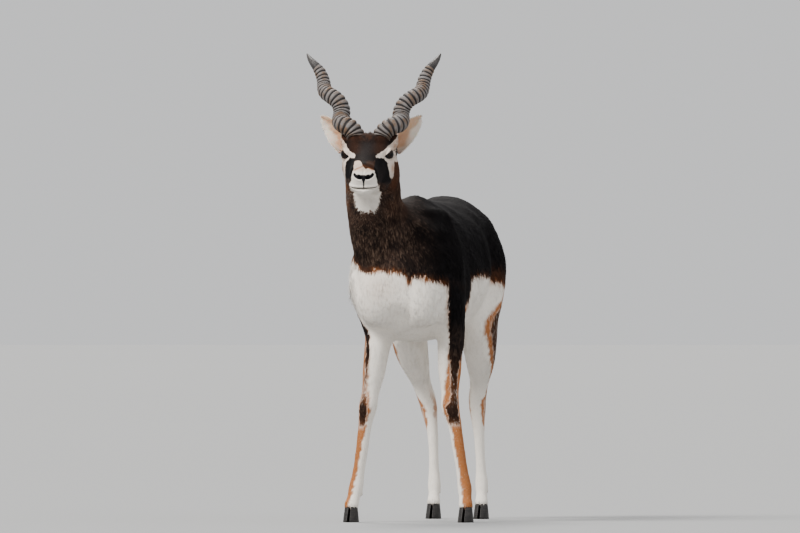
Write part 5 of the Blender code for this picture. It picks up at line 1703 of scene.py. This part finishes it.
def makeLashes(side, tree, group, surface):
    sign = sides[side]
    look, along, rise = eyeAxes(sign)
    (back, front, half), (alongPower, upPower) = face["lidGap"], face["lidRoundness"]
    roots, lies, offs, sizes = [], [], [], []
    for upper, count, share in ((True, eyes["lashes"], 1.0), (False, eyes["lashes"] // 2, 0.55)):
        for k in range(count):
            s = -0.86 + 1.72 * (k + 0.5) / count
            span = s * (back if s > 0 else front)
            high = half * (1 - abs(s) ** alongPower) ** (1 / upPower) * (1 if upper else -1)
            high += face["lidTilt"] * span
            out = math.sqrt(max(1e-6, (eye["radius"] + 0.0016) ** 2 - span**2 - high**2))
            roots.append(headFrame @ (eyeCentre(sign) + along * span + rise * high + look * out))
            up = 0.10 if upper else -0.45
            lies.append(headFrame.to_3x3() @ (look * 0.9 + along * (0.45 * s) + rise * up).normalized())
            offs.append(headFrame.to_3x3() @ (rise if upper else -rise))
            sizes.append(share * (1.0 - 0.35 * s * s))
    mesh = bpy.data.meshes.new("lashRoots")
    mesh.from_pydata(roots, [], [])
    store(mesh, "lie", lies, "FLOAT_VECTOR")
    store(mesh, "off", offs, "FLOAT_VECTOR")
    store(mesh, "size", sizes)
    base = bpy.data.objects.new("lashRoots", mesh)
    bpy.context.scene.collection.objects.link(base)
    inputs = {
        "Hair": group, "Length": eyes["lashLength"], "Width": eyes["lashWidth"], "Varies": 0.2, "Seed": 5,
        "Finish": surface,
    }
    made = grown(base, tree, "lashes_" + side, **inputs)
    bpy.data.objects.remove(base)
    made.data.attributes.remove(made.data.attributes["size"])
    return made


def lashFinish(wire, shader):
    colour = wire.place().noise(300.0, 2.0).mixed((0.008, 0.006, 0.005, 1), (0.022, 0.016, 0.013, 1))
    feed(wire, shader, "Base Color", colour)


eyeSurface = finish("eye", eyeFinish, 0.35, Coat_Weight=0.38, Coat_Roughness=0.05, Specular_IOR_Level=0.1)
lashSurface = finish("lash", lashFinish, 0.5)
eyePieces = {side: makeEye(side) for side in sides}
for piece in eyePieces.values():
    piece.data.materials.append(eyeSurface)
lashNodes, lashes = rowTree(), lashShape()
lashPieces = {side: makeLashes(side, lashNodes, lashes, lashSurface) for side in sides}
print("eyes and lashes made")

# hooves
hoof = {
    "top": 0.0367,
    "wide": 0.0112,
    "gap": 0.0008,
    "innerShare": 0.48,  # how far the flat inner side bulges
    "around": 40,
    "rows": 12,
    "soleRound": 0.0012,  # height at which the wall turns to the sole
    # share of the height, spread, depth behind and depth in front
    "levels": [(0.0, 1.08, 0.0180, 0.0330), (0.55, 0.97, 0.0160, 0.0235), (1.0, 0.86, 0.0140, 0.0140)],
}


def makeHoof(leg, side, toe):
    inner = sides[side] * (1 if toe == "outer" else -1)
    x, y = legMiddle(leg, side, stance["pasternUp"])
    bm = bmesh.new()
    rings = []
    for r in range(hoof["rows"] + 1):
        share = 1 - r / hoof["rows"]
        spread, behind, front = (float(value) for value in readTable(hoof["levels"], share))
        ridge = 1 + 0.012 * math.sin(share * 26) * (share < 0.95)
        ring = []
        for k in range(hoof["around"]):
            a = 2 * math.pi * k / hoof["around"]
            c, s = math.cos(a), math.sin(a)
            flat = hoof["innerShare"] if c * inner < 0 else 1.0
            depth = -front * abs(s) ** 0.9 if s < 0 else behind * s
            pointed = 1 - 0.50 * max(0.0, -s) ** 2.5
            middle = inner * (hoof["gap"] + hoof["innerShare"] * hoof["wide"] * spread * pointed)
            tuck = 0.94 if r == hoof["rows"] else 1.0
            across = c * flat * hoof["wide"] * spread * pointed * ridge * tuck
            up = hoof["top"] * share
            ring.append(Vector((x + middle + across, y + depth * ridge * tuck, up)))
        if r == hoof["rows"]:
            rings[-1] = [Vector((p.x, p.y, hoof["soleRound"])) for p in rings[-1]]
        rings.append(ring)
    skinRings(bm, rings)
    made = newObject(f"hoofwall_{leg}_{side}_{toe}", bm)
    made.data.shade_smooth()
    made.data.materials.append(hoofSurface)
    return made


def hoofFinish(wire, shader):
    place = wire.place()
    bands = place.vector("MULTIPLY", (60.0, 60.0, 620.0)).noise(1.0, 3.0)
    # on the hooves this is scuffed wear only
    wearAndPaintedLight = place.noise(140.0, 4.0)
    wall = bands.step(0.3, 0.7).mixed((0.012, 0.011, 0.011, 1), (0.040, 0.035, 0.032, 1))
    scuffed = (wearAndPaintedLight.step(0.55, 0.8) * 0.5).clamped()
    feed(wire, shader, "Base Color", scuffed.mixed(wall, (0.10, 0.085, 0.072, 1)))
    feed(wire, shader, "Roughness", 0.36 + wearAndPaintedLight * 0.3)
    feed(wire, shader, "Normal", bands.bump(0.4, 0.0007))


hoofSurface = finish("hoof", hoofFinish, 0.45)
hoofPieces = {
    f"hoof_{leg}_{side}_{toe}": makeHoof(leg, side, toe)
    for leg in ("fore", "hind") for side in sides for toe in ("inner", "outer")
}
print("hooves made")

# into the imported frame
stands = {"horn_" + side: hornPieces[side] for side in sides}
stands.update({"ear_" + side: earPieces[side] for side in sides})
stands.update({"eye_" + side: eyePieces[side] for side in sides})
stands.update(hoofPieces)
for piece in [skin, *pieces, *lashPieces.values(), *stands.values()]:
    piece.data.transform(toFrame)
    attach(piece, "root")
limbParts = ("forearm", "fore_cannon", "thigh", "hind_cannon")
fleshNodes = [f"{part}_{side}" for part in limbParts for side in sides]
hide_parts("head", "neck", "torso", "tail", *fleshNodes)
for node, piece in stands.items():
    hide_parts(node)
